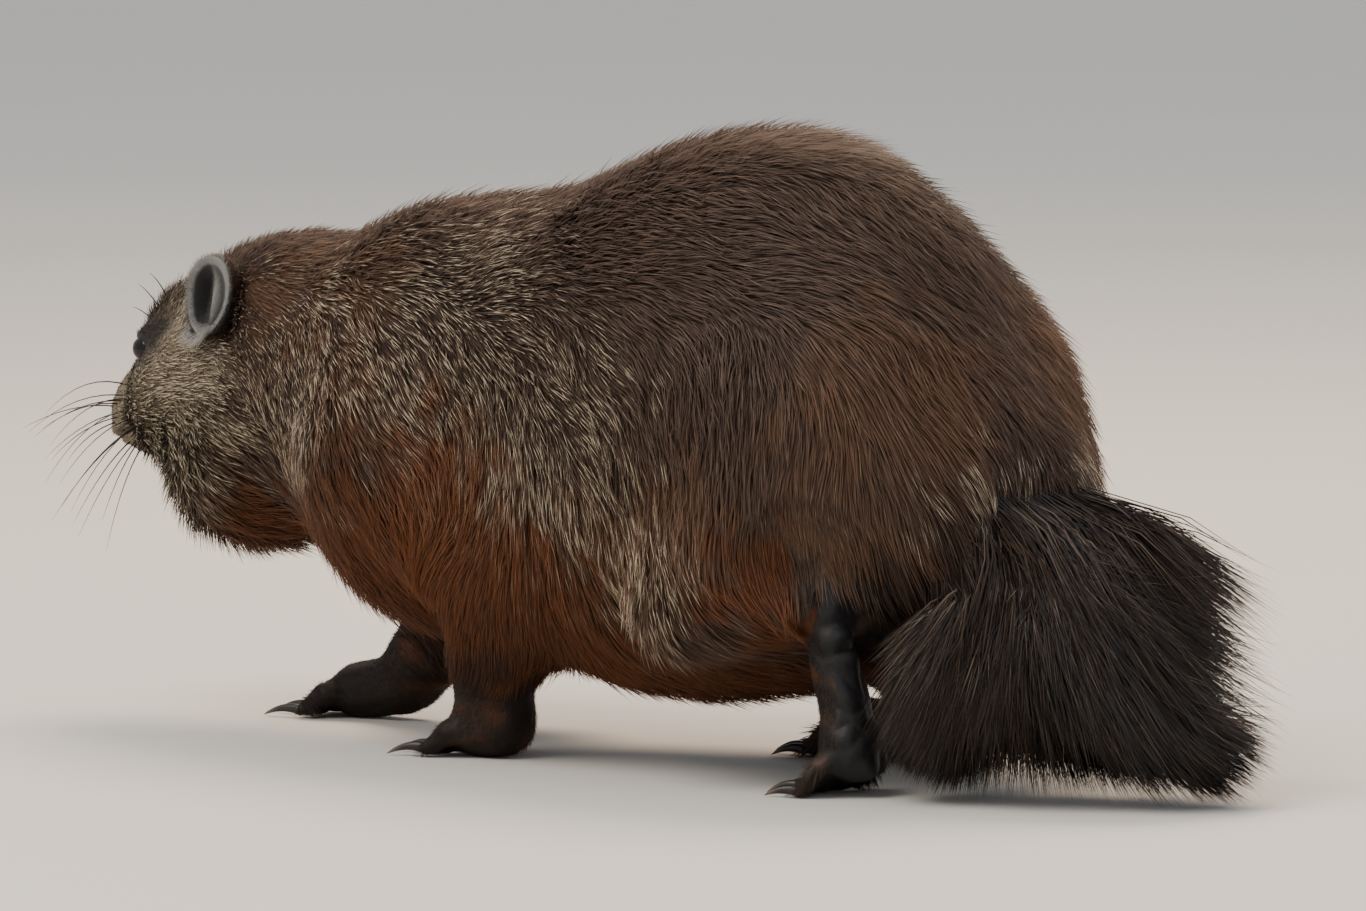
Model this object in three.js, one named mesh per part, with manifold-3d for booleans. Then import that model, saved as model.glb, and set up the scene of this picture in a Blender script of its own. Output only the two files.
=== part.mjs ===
// A life-size groundhog in mid walk: back arched, head low and turned a little to its right, the left
// hind foot pushing off on its toes and the right fore foot reaching forward. The solids are drawn out
// to the tips of the coat. Millimetres, +X towards the tail, +Y towards the animal's right, +Z up.
import * as THREE from "three";
import { mergeVertices } from "three/addons/utils/BufferGeometryUtils.js";
import Module from "manifold-3d";

const wasm = await Module();
wasm.setup();

// Driving dimensions
const GAP = 0.3; // kept between any two nodes that touch
const FINEST = 0.03; // nothing smaller than this is kept on a surface
const RUMP_TOP = 243;
const SHOULDER_TOP = 208;
const BELLY_BOTTOM = 30;
const BODY_HALF_WIDTH = 84;
const SHOULDER_HALF_WIDTH = 62;
const HEAD_YAW = -12; // degrees, turned to its right
const HEAD_PITCH = -22; // degrees, nose down
const NOSE_REACH = 98; // from the middle of the skull to the tip of the muzzle
const EYE_RADIUS = 6.2;
const EAR_HALF_HEIGHT = 17;
const EAR_HALF_WIDTH = 11.5;
const FORE_TOE = { count: 4, spread: 9.5, length: 21, radius: 4.7, claw: 13 };
const HIND_TOE = { count: 5, spread: 7.6, length: 21, radius: 4.4, claw: 11 };
const TAIL_LENGTH = 150;
// Of each pair, the first goes for the tail's root and the second for its tip.
const TAIL_LOCKS = { length: 66, lean: [72, 24], halfWidth: [9.5, 6.5], halfThickness: 1.3, seed: 7 };
const LOCK_VARIATION = 0.12; // of a lock's length and width, up and down
const FLOOR_CLEAR = 3; // the middle of a lock keeps this above the floor
const LEFT = -1;
const RIGHT = 1;

// Landmarks of the pose, at the joints
const POSE = {
  skull: [-247, 5, 153],
  neckRoot: [-150, 0, 132],
  tailRoot: [120, 0, 117],
  foreLeft: { top: [-146, -40, 116], bend: [-78, -54, 72], end: [-98, -40, 27] },
  foreRight: { top: [-160, 40, 114], bend: [-146, 52, 64], end: [-199, 40, 26] },
  hindLeft: { top: [62, -44, 122], bend: [27, -74, 72], end: [77, -62, 72] },
  hindRight: { top: [60, 44, 118], bend: [-8, 70, 62], end: [50, 52, 24] },
};
const LEG_RADII = {
  fore: { top: 36, bend: 26, end: 16 },
  hind: { top: 36, bend: 25, end: 15 },
};

const vec = (p) => new THREE.Vector3(...p);
const radians = THREE.MathUtils.degToRad;
const mix = THREE.MathUtils.lerp;
const along = (a, b, t) => vec(a).lerp(vec(b), t).toArray();
const turned = (degrees) => new THREE.Euler(...degrees.map(radians), "ZYX");

// Signed distance forms: each takes a point and gives the distance to its surface, below 0 inside.
function ellipsoid(at, radii, turn = [0, 0, 0]) {
  const inward = new THREE.Matrix4().makeRotationFromEuler(turned(turn)).setPosition(...at).invert();
  const [a, b, c] = radii;
  const q = new THREE.Vector3();
  return (p) => {
    q.copy(p).applyMatrix4(inward);
    const near = Math.hypot(q.x / a, q.y / b, q.z / c);
    const slope = Math.hypot(q.x / (a * a), q.y / (b * b), q.z / (c * c));
    return slope > 1e-9 ? (near * (near - 1)) / slope : -Math.min(a, b, c);
  };
}

// A limb that tapers along a chain of points.
function limb(points, radii) {
  const joints = points.map(vec);
  const axis = new THREE.Vector3();
  const off = new THREE.Vector3();
  return (p) => {
    let best = Infinity;
    for (let i = 0; i + 1 < joints.length; i++) {
      axis.subVectors(joints[i + 1], joints[i]);
      off.subVectors(p, joints[i]);
      const t = THREE.MathUtils.clamp(off.dot(axis) / axis.lengthSq(), 0, 1);
      const away = off.addScaledVector(axis, -t).length();
      best = Math.min(best, away - mix(radii[i], radii[i + 1], t));
    }
    return best;
  };
}

// Forms melted into one another over a width of `soft`.
function melt(soft, ...forms) {
  return (p) => {
    let d = forms[0](p);
    for (let i = 1; i < forms.length; i++) {
      const e = forms[i](p);
      const h = Math.max(soft - Math.abs(d - e), 0);
      d = Math.min(d, e) - (h * h) / (4 * soft);
    }
    return d;
  };
}

// The head's own frame, from the middle of the skull: +X backwards, +Y to its right, +Z up.
const headTurn = [0, HEAD_PITCH, HEAD_YAW];
const headFrame = new THREE.Matrix4()
  .makeRotationFromEuler(turned(headTurn))
  .setPosition(...POSE.skull);
const onHead = (p) => vec(p).applyMatrix4(headFrame).toArray();
const headward = (p) => vec(p).transformDirection(headFrame).toArray();
const headBlob = (at, radii, yaw = 0) =>
  ellipsoid(onHead(at), radii, [0, HEAD_PITCH, HEAD_YAW + yaw]);

// Ways out of the head, in its frame, for the side that `s` names: forwards is -X
const EYE_WAY = { from: [-42, 6, 1], out: [-0.34, 0.9, 0.24] };
const EAR_WAY = { from: [14, 0, -2], out: [0.1, 0.98, 0.16] };
const NOSE_AT = [4 - NOSE_REACH, 0, -4];
const MOUTH = { back: 36, height: -19, reach: 118 }; // back from the nose; degrees round each side
const onSide = (p, s) => [p[0], p[1] * s, p[2]];

function headForm() {
  const pairs = [LEFT, RIGHT].flatMap((s) => [
    headBlob([20 - NOSE_REACH, 9.5 * s, -13], [14, 9, 9]),
    headBlob([-44, 19 * s, -11], [25, 12, 14]),
    headBlob([-26, 20 * s, -19], [38, 19, 24], -8 * s),
  ]);
  return melt(
    9,
    headBlob([0, 0, -2], [38, 31, 27]),
    headBlob([-37, 0, 4], [33, 26, 20]),
    headBlob([-58, 0, -3], [34, 17, 16]),
    headBlob([35 - NOSE_REACH, 0, -9], [33, 18.5, 15.5]),
    headBlob([14 - NOSE_REACH, 0, -8], [13, 15, 12.5]),
    headBlob([49 - NOSE_REACH, 0, -22], [37, 15.5, 11.5]),
    headBlob([26, 0, -8], [36, 38, 31]),
    ...pairs,
  );
}

function trunkForm() {
  const shoulderRise = 80;
  const rumpRise = 92;
  const bellyDrop = 57;
  return melt(
    34,
    ellipsoid([-134, 0, SHOULDER_TOP - shoulderRise], [78, SHOULDER_HALF_WIDTH - 2, shoulderRise - 4]),
    ellipsoid([-150, 0, 96], [48, 50, 50]),
    ellipsoid([-45, 0, 125], [100, BODY_HALF_WIDTH - 6, 91]),
    ellipsoid([12, 0, RUMP_TOP - rumpRise], [86, BODY_HALF_WIDTH - 18, rumpRise - 4]),
    ellipsoid([24, 0, 122], [94, BODY_HALF_WIDTH - 6, 76]),
    ellipsoid([74, 0, 104], [62, BODY_HALF_WIDTH - 12, 56]),
    ellipsoid([-20, 0, BELLY_BOTTOM + bellyDrop + 3], [100, BODY_HALF_WIDTH - 12, bellyDrop]),
  );
}

function neckForm() {
  return melt(
    16,
    limb([POSE.neckRoot, [-196, 1, 134], [-228, 3, 130]], [58, 48, 38]),
    ellipsoid([-240, 3, 106], [48, 40, 38], [0, -16, -8]),
  );
}

function legForm(leg, radii) {
  return limb([leg.top, leg.bend, leg.end], [radii.top, radii.bend, radii.end]);
}

const whole = melt(
  9,
  melt(
    20,
    trunkForm(),
    neckForm(),
    ellipsoid([54, -46, 134], [56, 34, 42], [0, -30, 0]),
    ellipsoid([52, 46, 130], [58, 34, 46], [0, -34, 0]),
  ),
  headForm(),
  legForm(POSE.foreLeft, LEG_RADII.fore),
  legForm(POSE.foreRight, LEG_RADII.fore),
  legForm(POSE.hindLeft, LEG_RADII.hind),
  legForm(POSE.hindRight, LEG_RADII.hind),
);

// Moves a point onto a form's surface, along the steepest way.
function settle(point, form, reach) {
  const h = 0.05;
  const slope = new THREE.Vector3();
  const q = new THREE.Vector3();
  const start = point.clone();
  for (let turn = 0; turn < 4; turn++) {
    const d = form(point);
    slope.set(
      form(q.copy(point).setX(point.x + h)) - d,
      form(q.copy(point).setY(point.y + h)) - d,
      form(q.copy(point).setZ(point.z + h)) - d,
    );
    slope.divideScalar(h);
    point.addScaledVector(slope, -d / Math.max(slope.lengthSq(), 0.2));
  }
  if (point.distanceTo(start) > reach) point.copy(start);
}

const AXES = [
  [1, 0, 0],
  [0, 1, 0],
  [0, 0, 1],
];
const RING = [
  [0, 0],
  [1, 0],
  [1, 1],
  [0, 1],
];
const CORNERS = [0, 1, 2, 3, 4, 5, 6, 7].map((n) => [n & 1, (n >> 1) & 1, (n >> 2) & 1]);
const CELL_EDGES = CORNERS.flatMap((a) =>
  AXES.filter((axis) => axis.every((v, i) => v + a[i] < 2)).map((axis) => [a, a.map((v, i) => v + axis[i])]),
);

// The closed surface of a form at `level`, netted over a box in cells of `step`.
function surface(form, low, high, step, level = 0) {
  const size = low.map((v, i) => Math.ceil((high[i] - v) / step) + 1);
  const boxed = (p) => {
    const rim = p.toArray().map((v, i) => Math.max(low[i] + step - v, v - high[i] + step));
    return Math.max(form(p) - level, ...rim);
  };
  const p = new THREE.Vector3();
  const index = (i, j, k) => i + size[0] * (j + size[1] * k);
  const cell = (n) => [n % size[0], Math.floor(n / size[0]) % size[1], Math.floor(n / (size[0] * size[1]))];
  const value = new Float64Array(size[0] * size[1] * size[2]);
  for (let n = 0; n < value.length; n++) {
    value[n] = boxed(p.set(...cell(n)).multiplyScalar(step).add(vec(low)));
  }
  const eachCell = (from, visit) => {
    for (let n = 0; n < value.length; n++) {
      const at = cell(n);
      if (at.every((v, axis) => v >= from && v + 1 < size[axis])) visit(...at);
    }
  };
  const points = [];
  const cellPoint = new Map();
  eachCell(0, (i, j, k) => {
    const sum = new THREE.Vector3();
    let crossings = 0;
    for (const [a, b] of CELL_EDGES) {
      const va = value[index(i + a[0], j + a[1], k + a[2])];
      const vb = value[index(i + b[0], j + b[1], k + b[2])];
      if (va < 0 === vb < 0) continue;
      sum.add(vec(a).lerp(vec(b), va / (va - vb)));
      crossings++;
    }
    if (!crossings) return;
    sum.divideScalar(crossings).add(p.set(i, j, k)).multiplyScalar(step).add(vec(low));
    settle(sum, boxed, step);
    cellPoint.set(index(i, j, k), points.length);
    points.push(sum);
  });
  const faces = [];
  const quad = ([a, b, c, d]) => {
    const first = points[a].distanceTo(points[c]) < points[b].distanceTo(points[d]);
    faces.push(...(first ? [a, b, c, a, c, d] : [b, c, d, b, d, a]));
  };
  eachCell(1, (i, j, k) =>
    AXES.forEach(([x, y, z], axis) => {
      const inside = value[index(i, j, k)] < 0;
      if (inside === value[index(i + x, j + y, k + z)] < 0) return;
      const u = AXES[(axis + 1) % 3];
      const v = AXES[(axis + 2) % 3];
      const around = RING.map(([m, n]) =>
        cellPoint.get(index(i - m * u[0] - n * v[0], j - m * u[1] - n * v[1], k - m * u[2] - n * v[2])),
      );
      quad(inside ? around : around.reverse());
    }),
  );
  return solid(new THREE.BufferGeometry().setFromPoints(points).setIndex(faces));
}

// A closed form through rings of points. An end ring may be a single point.
function bridge(rings) {
  const faces = [];
  const starts = rings.map((_, n) => rings.slice(0, n).reduce((sum, ring) => sum + ring.length, 0));
  const corner = (n, m) => starts[n] + (m % rings[n].length);
  const sides = Math.max(...rings.map((ring) => ring.length));
  for (let n = 0; n + 1 < rings.length; n++)
    for (let m = 0; m < sides; m++) {
      if (rings[n + 1].length > 1) faces.push(corner(n, m), corner(n + 1, m), corner(n + 1, m + 1));
      if (rings[n].length > 1) faces.push(corner(n, m), corner(n + 1, m + 1), corner(n, m + 1));
    }
  const end = rings.length - 1;
  for (let m = 1; m + 1 < sides; m++) {
    if (rings[0].length > 1) faces.push(corner(0, 0), corner(0, m), corner(0, m + 1));
    if (rings[end].length > 1) faces.push(corner(end, 0), corner(end, m + 1), corner(end, m));
  }
  return solid(new THREE.BufferGeometry().setFromPoints(rings.flat()).setIndex(faces));
}

// A tapering form along stations of { at, wide, thick }, with `facing` the way its flat side looks.
// A station with no width is a point.
function loft(stations, sides, facing) {
  const at = stations.map((s) => vec(s.at));
  return bridge(
    stations.map(({ wide, thick }, n) => {
      if (!wide) return [at[n]];
      const ahead = at[Math.min(n + 1, at.length - 1)].clone().sub(at[Math.max(n - 1, 0)]).normalize();
      const across = ahead.clone().cross(vec(facing)).normalize();
      const out = across.clone().cross(ahead).normalize();
      return Array.from({ length: sides }, (_, m) => {
        const angle = (2 * Math.PI * m) / sides;
        const point = at[n].clone().addScaledVector(across, wide * Math.cos(angle));
        return point.addScaledVector(out, thick * Math.sin(angle));
      });
    }),
  );
}

// three.js geometry to a solid that can be joined and cut, and back.
function solid(geometry) {
  const bare = geometry.clone();
  bare.deleteAttribute("normal");
  bare.deleteAttribute("uv");
  const merged = mergeVertices(bare, 1e-4);
  const vertProperties = merged.attributes.position.array;
  const triVerts = new Uint32Array(merged.index.array);
  const made = new wasm.Manifold(new wasm.Mesh({ numProp: 3, vertProperties, triVerts }));
  if (made.volume() > 0) return made;
  return new wasm.Manifold(new wasm.Mesh({ numProp: 3, vertProperties, triVerts: triVerts.reverse() }));
}

function geometryOf(made) {
  const { vertProperties, triVerts, numProp } = made.getMesh();
  const points = [];
  for (let i = 0; i < vertProperties.length; i += numProp)
    points.push(new THREE.Vector3(...vertProperties.subarray(i, i + 3)));
  partCorners(points, triVerts);
  return new THREE.BufferGeometry().setFromPoints(points).setIndex([...triVerts]);
}

// Corners that only touch are drawn apart, each a little way towards its own faces.
function partCorners(points, triVerts) {
  const taken = new Set();
  points.forEach((point, i) => {
    const key = point.toArray().map((v) => Math.round(v / FINEST)).join();
    if (taken.has(key)) {
      const middle = new THREE.Vector3();
      let count = 0;
      for (let n = 0; n < triVerts.length; n += 3) {
        const face = [...triVerts.subarray(n, n + 3)];
        if (!face.includes(i)) continue;
        face.forEach((m) => middle.add(points[m]));
        count += 3;
      }
      point.addScaledVector(middle.divideScalar(count).sub(point).normalize(), 2 * FINEST);
    }
    taken.add(key);
  });
}

const join = (solids) => solids.reduce((all, one) => all.add(one));
const largest = (made) => made.decompose().sort((a, b) => b.volume() - a.volume())[0];
const back = (p) => p.map((v) => -v);

// Keeps the side of a plane that `normal` points to, less half a gap.
function keep(made, point, normal) {
  const n = vec(normal).normalize();
  return made.trimByPlane(n.toArray(), n.dot(vec(point)) + GAP / 2);
}

function ball(at, radius, detail = 2, stretch = [1, 1, 1], turn = [0, 0, 0]) {
  const geometry = new THREE.IcosahedronGeometry(radius, detail).scale(...stretch);
  geometry.applyMatrix4(new THREE.Matrix4().makeRotationFromEuler(turned(turn)).setPosition(...at));
  return solid(geometry);
}

function block(at, size, turn, grow) {
  const geometry = new THREE.BoxGeometry(...size.map((v) => v + 2 * grow));
  geometry.applyMatrix4(new THREE.Matrix4().makeRotationFromEuler(turned(turn)).setPosition(...at));
  return solid(geometry);
}

// A square sleeve from one point to another, for parting off a lower leg.
function sleeve(from, to, width, grow) {
  const a = vec(from);
  const b = vec(to);
  const geometry = new THREE.BoxGeometry(width + 2 * grow, width + 2 * grow, a.distanceTo(b) + 2 * grow);
  const place = new THREE.Matrix4().lookAt(a, b, new THREE.Vector3(0, 1, 0));
  place.setPosition(a.clone().lerp(b, 0.5));
  return solid(geometry.applyMatrix4(place));
}

// Where the trunk is parted: a point of each plane and the way towards the tail
const PLANES = {
  head: { point: onHead([20, 0, 0]), aft: headward([0.9, 0, -0.44]) },
  neck: { point: [-186, 0, 125], aft: [0.96, 0, -0.26] },
  chest: { point: [-72, 0, 120], aft: [1, 0, 0] },
  belly: { point: [2, 0, 120], aft: [1, 0, 0] },
};
const ROOTS = {
  upper_arm_left: { at: [-122, -76, 92], size: [100, 78, 98], turn: [0, 18, 0] },
  upper_arm_right: { at: [-146, 76, 92], size: [76, 78, 98], turn: [0, 8, 0] },
  thigh_left: { at: [56, -88, 110], size: [124, 84, 116], turn: [0, -16, 0] },
  thigh_right: { at: [44, 88, 106], size: [128, 84, 116], turn: [0, -16, 0] },
};
const LOWER_LEGS = {
  forearm_left: { leg: POSE.foreLeft, width: 60, from: 0.28, past: 24, step: 11 },
  forearm_right: { leg: POSE.foreRight, width: 60, from: 0.28, past: 24, step: 10 },
  shank_left: { leg: POSE.hindLeft, width: 56, from: 0.2, past: 0, step: 11 },
  shank_right: { leg: POSE.hindRight, width: 56, from: 0.2, past: 24, step: 11 },
};
const LOW = [-362, -114, -8];
const HIGH = [156, 114, 254];
const netted = (lowX, highX, step) =>
  surface(whole, [lowX, LOW[1], LOW[2]], [highX, HIGH[1], HIGH[2]], step);
const TRUNK_STEP = 17;
const HEAD_STEP = 7.2;
const trunkSkin = netted(LOW[0], HIGH[0], TRUNK_STEP);

// Where a line out of the body leaves it
function skinPoint(from, out) {
  const way = vec(out).normalize();
  let inside = 0;
  let outside = 120;
  while (outside - inside > 0.01) {
    const middle = (inside + outside) / 2;
    if (whole(vec(from).addScaledVector(way, middle)) < 0) inside = middle;
    else outside = middle;
  }
  return vec(from).addScaledVector(way, inside).toArray();
}

function lowerLegSleeve({ leg, width, from, past }, grow) {
  const onward = vec(leg.end).sub(vec(leg.bend)).normalize();
  const to = vec(leg.end).addScaledVector(onward, past).toArray();
  return sleeve(along(leg.bend, leg.end, from), to, width, grow);
}

// Feet. A foot is a wrist or heel melted into a pad, with toes from a few sizes, cut flat at the floor.
const FEET = {
  forefoot_left: {
    toe: FORE_TOE,
    side: LEFT,
    heading: 6,
    knuckles: [-107, -38, 10],
    pad: (grow) => footPad([[-98, -40, 30], [-93, -39, 12], [-104, -38, 10]], [16, 13, 11], grow),
    trim: { point: POSE.foreLeft.end, down: [0, 0, -1] },
  },
  forefoot_right: {
    toe: FORE_TOE,
    side: RIGHT,
    heading: -6,
    knuckles: [-236, 39, 10],
    pad: (grow) => footPad([[-196, 40, 29], [-209, 40, 14], [-231, 39, 10]], [16, 13, 11], grow),
    trim: { point: POSE.foreRight.end, down: [-0.75, 0, -0.66] },
  },
  hindfoot_left: {
    toe: HIND_TOE,
    side: LEFT,
    heading: 4,
    knuckles: [87, -58, 12],
    pad: (grow) => footPad([[80, -65, 82], [85, -63, 52], [92, -59, 16]], [9.5, 9, 11], grow),
    trim: null,
  },
  hindfoot_right: {
    toe: HIND_TOE,
    side: RIGHT,
    heading: -4,
    knuckles: [0, 51, 10],
    pad: (grow) => footPad([[58, 52, 12], [30, 52, 11], [4, 51, 10]], [10, 11, 12], grow),
    trim: null,
  },
};

function footPad(points, radii, grow) {
  const widest = radii.at(-1);
  const [x, y, z] = points.at(-1);
  const form = melt(6, limb(points, radii), ellipsoid([x, y, z], [widest, widest + 5, widest - 2]));
  const reach = 28;
  const low = [0, 1, 2].map((i) => Math.min(...points.map((p) => p[i])) - reach);
  const high = [0, 1, 2].map((i) => Math.max(...points.map((p) => p[i])) + reach);
  return surface(form, low, high, 9, grow);
}

// The centre line and size of each toe, with the claw that follows it. Toes press a little into the
// floor's level, where they are cut flat.
const TOE_PRESS = 0.6;
const TOE_SIDES = 6;
const TOE_SOLE = Math.cos(Math.PI / TOE_SIDES); // a side, not an edge, faces the floor
const TOE_FAN = 7; // degrees from one toe to the next
const TOE_SHORTER = 0.09; // the share lost by a toe one place from the middle
const TOE_TAPER = [1, 1.05, 1, 0.8];
const KNUCKLE_RISE = 1.5;
const UP = new THREE.Vector3(0, 0, 1);
function toesOf(foot) {
  const { toe, side, heading, knuckles } = foot;
  const ahead = new THREE.Vector3(-1, 0, 0).applyAxisAngle(UP, radians(-heading * side));
  return Array.from({ length: toe.count }, (_, n) => {
    const place = n - (toe.count - 1) / 2;
    const fan = ahead.clone().applyAxisAngle(UP, radians(-TOE_FAN * place));
    const root = vec(knuckles).add(new THREE.Vector3(4, place * toe.spread, -1));
    const step = fan.clone().multiplyScalar((toe.length * (1 - TOE_SHORTER * place * place)) / 3);
    const at = [0, 1, 2, 3].map((k) => root.clone().addScaledVector(step, k));
    const radii = TOE_TAPER.map((r) => r * toe.radius);
    at[1].z += KNUCKLE_RISE;
    at[2].z = radii[2] * TOE_SOLE - TOE_PRESS;
    at[3].z = radii[3] * TOE_SOLE - TOE_PRESS / 2;
    const tip = at[3].clone().sub(at[2]).normalize();
    const level = tip.clone().setZ(0).normalize();
    const start = at[3].clone().addScaledVector(tip, GAP);
    const beyond = (way, far) => start.clone().addScaledVector(way, far);
    const claw = [
      { at: start.toArray(), wide: 2, thick: 2.4 },
      { at: beyond(tip, 3).toArray(), wide: 1.9, thick: 2.2 },
      { at: beyond(level, toe.claw * 0.62).setZ(2.6).toArray(), wide: 1.2, thick: 1.5 },
      { at: beyond(level, toe.claw).setZ(0.6).toArray(), wide: 0, thick: 0 },
    ];
    return { at, radii, claw };
  });
}

function footSolid(foot, grow) {
  const toes = toesOf(foot).map(({ at, radii }) =>
    loft(
      at.map((p, k) => ({ at: p.toArray(), wide: radii[k] + grow, thick: radii[k] + grow })),
      TOE_SIDES,
      [0, 0, 1],
    ),
  );
  const made = join([foot.pad(grow), ...toes]).trimByPlane([0, 0, 1], 0);
  return foot.trim && !grow ? keep(made, foot.trim.point, foot.trim.down) : made;
}

// The finished nodes
const paint = (color, roughness) => new THREE.MeshStandardMaterial({ color, roughness });
const COATS = {
  back: paint("#4a3a2e", 0.9),
  grizzled: paint("#6e604c", 0.9),
  russet: paint("#6b3a1e", 0.9),
  tail: paint("#2c221b", 0.9),
  foot: paint("#1d1815", 0.8),
  ear: paint("#7d7a74", 0.85),
  bare: paint("#1b1717", 0.45),
  eye: paint("#0b0807", 0.08),
  claw: paint("#2a2320", 0.4),
};
const groundhog = new THREE.Group();
function add(name, made, coat) {
  const mesh = new THREE.Mesh(geometryOf(largest(made).simplify(FINEST)), coat);
  mesh.name = name;
  groundhog.add(mesh);
}

const legRoom = join([
  ...Object.values(LOWER_LEGS).map((spec) => lowerLegSleeve(spec, GAP / 2)),
  footSolid(FEET.hindfoot_left, 2 * GAP),
]);
const rootRoom = join(Object.values(ROOTS).map((r) => block(r.at, r.size, r.turn, GAP / 2)));
const between = (made, fore, aft) => keep(keep(made, fore.point, fore.aft), aft.point, back(aft.aft));

// Tail: a slim core set into the rump, with locks in rows, each row nested in the one before it. The
// locks fan out from the root, lean more and more along the core, and end where the full tail does.
const fullTail = melt(
  14,
  limb([POSE.tailRoot, [150, -4, 84]], [20, 26]),
  ellipsoid([170, -6, 58], [TAIL_LENGTH / 2, 50, 33], [0, 40, 0]),
  ellipsoid([132, -38, 44], [32, 46, 42]),
  ellipsoid([160, -30, 36], [42, 48, 33]),
);
const curve = (...points) => new THREE.CatmullRomCurve3(points.map(vec));
// The tail's core, and the shorter one of the tuft that hangs left of its root
const TAIL_CORES = [
  {
    line: curve([109, 5, 136], [138, -8, 86], [156, -15, 63], [178, -16, 45], [203, -12, 28]),
    radii: [15, 14.5, 13, 11, 8.5, 6, 3.5],
    rows: 8,
    around: [9, 5],
    span: [0.14, 0.97],
    rootDepth: [13, 2.5],
  },
  {
    line: curve([122, -4, 104], [129, -25, 78], [129, -40, 54], [127, -47, 32]),
    radii: [11, 10, 7, 4],
    rows: 3,
    around: [6, 5],
    span: [0.42, 0.97],
    rootDepth: [8, 2.5],
  },
];
const TAIL_BACK = [0.75, 0, 0.66]; // the way the tail's upper side looks

function coreSolid({ line, radii }, grow) {
  const last = radii.length - 1;
  const stations = radii.map((radius, n) => {
    return { at: line.getPoint(n / last).toArray(), wide: radius + grow, thick: radius + grow };
  });
  return loft(stations, 10, TAIL_BACK);
}
const tailCore = (grow) => join(TAIL_CORES.map((core) => coreSolid(core, grow)));

const HAIR_START = 15; // a lock is at least this long, to stand clear of the core
// Where a hair from `root` along `way` ends: at its length, at the full tail's surface or at the body
function hairEnd(root, way, length) {
  const end = new THREE.Vector3();
  for (let reach = HAIR_START; reach < length; reach++) {
    end.copy(root).addScaledVector(way, reach);
    end.z = Math.max(end.z, FLOOR_CLEAR);
    if (fullTail(end) > 0 || whole(end) < 4 * GAP) return { end, reach };
  }
  return { end, reach: length };
}

const LEAST_LEAN = 8; // degrees off the core
const LEAN_STEP = 4;
// A lock leans out from the core as far as still lets it run its length.
function leaningHair(root, ahead, out, length, widest) {
  let best = { reach: 0 };
  for (let lean = widest; lean > LEAST_LEAN && best.reach < length; lean -= LEAN_STEP) {
    const way = ahead.clone().multiplyScalar(Math.cos(radians(lean)));
    way.addScaledVector(out, Math.sin(radians(lean)));
    const found = hairEnd(root, way, length);
    if (found.reach > best.reach) best = found;
  }
  return best;
}

// A lock's width and thickness along it, as shares of its widest
const LOCK_SHAPE = [
  { t: 0, wide: 0.22, thick: 1.6 },
  { t: 0.42, wide: 1, thick: 1.2 },
  { t: 0.8, wide: 0.72, thick: 0.8 },
  { t: 1, wide: 0, thick: 0 },
];

function lockSolid(root, end, out, halfWidth, halfThickness) {
  const bend = root.clone().lerp(end, 0.5).addScaledVector(out, 0.1 * root.distanceTo(end));
  bend.z = Math.max(bend.z, 2 * FLOOR_CLEAR);
  const path = new THREE.QuadraticBezierCurve3(root, bend, end);
  const stations = LOCK_SHAPE.map(({ t, wide, thick }) => {
    return { at: path.getPoint(t).toArray(), wide: halfWidth * wide, thick: halfThickness * thick };
  });
  return loft(stations, 4, out.toArray());
}

function locksOn({ line, rows, around, span, rootDepth }, draw) {
  const { length, lean, halfWidth, halfThickness } = TAIL_LOCKS;
  const locks = [];
  for (let row = 0; row < rows; row++) {
    const t = mix(...span, row / (rows - 1));
    const ahead = line.getTangent(t);
    const side = ahead.clone().cross(vec(TAIL_BACK)).normalize();
    const count = Math.round(mix(...around, t));
    for (let n = 0; n < count; n++) {
      const turn = ((n + (row % 2) / 2) * 2 * Math.PI) / count + draw(LOCK_VARIATION / 2);
      const out = side.clone().applyAxisAngle(ahead, turn);
      const root = line.getPoint(t).addScaledVector(out, mix(...rootDepth, t));
      const longest = length * (1 + draw(LOCK_VARIATION));
      const { end, reach } = leaningHair(root, ahead, out, longest, mix(...lean, t));
      const wide = mix(...halfWidth, t) * (1 + draw(LOCK_VARIATION));
      if (reach > length / 3) locks.push(lockSolid(root, end, out, wide, halfThickness));
    }
  }
  return locks;
}

function tailLocks() {
  THREE.MathUtils.seededRandom(TAIL_LOCKS.seed);
  const draw = (spread) => spread * (2 * THREE.MathUtils.seededRandom() - 1);
  return TAIL_CORES.flatMap((core) => locksOn(core, draw));
}

// Eyes: balls whose lids stand out of the head
const LID_THICKNESS = 2;
// Each lid's edge, in degrees from the way the eye looks
const LID_OPENINGS = [
  { side: 1, degrees: 48, depth: 0.2 },
  { side: -1, degrees: 42, depth: 0.3 },
];
function eye(s) {
  const out = headward(onSide(EYE_WAY.out, s));
  const skin = skinPoint(onHead(onSide(EYE_WAY.from, s)), out);
  const at = vec(skin).addScaledVector(vec(out), -EYE_RADIUS * 0.45).toArray();
  return { at, out: vec(out) };
}

function lids(s) {
  const { at, out } = eye(s);
  const shell = ball(at, EYE_RADIUS + GAP + LID_THICKNESS).subtract(ball(at, EYE_RADIUS + GAP));
  const up = vec(headward([0, 0, 1]));
  const edges = LID_OPENINGS.map(({ degrees, side, depth }) => {
    const angle = radians(degrees);
    const normal = up.clone().multiplyScalar(side * Math.cos(angle));
    normal.addScaledVector(out, -Math.sin(angle)).normalize();
    return shell.trimByPlane(normal.toArray(), normal.dot(vec(at)) - depth);
  });
  return join(edges);
}

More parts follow.
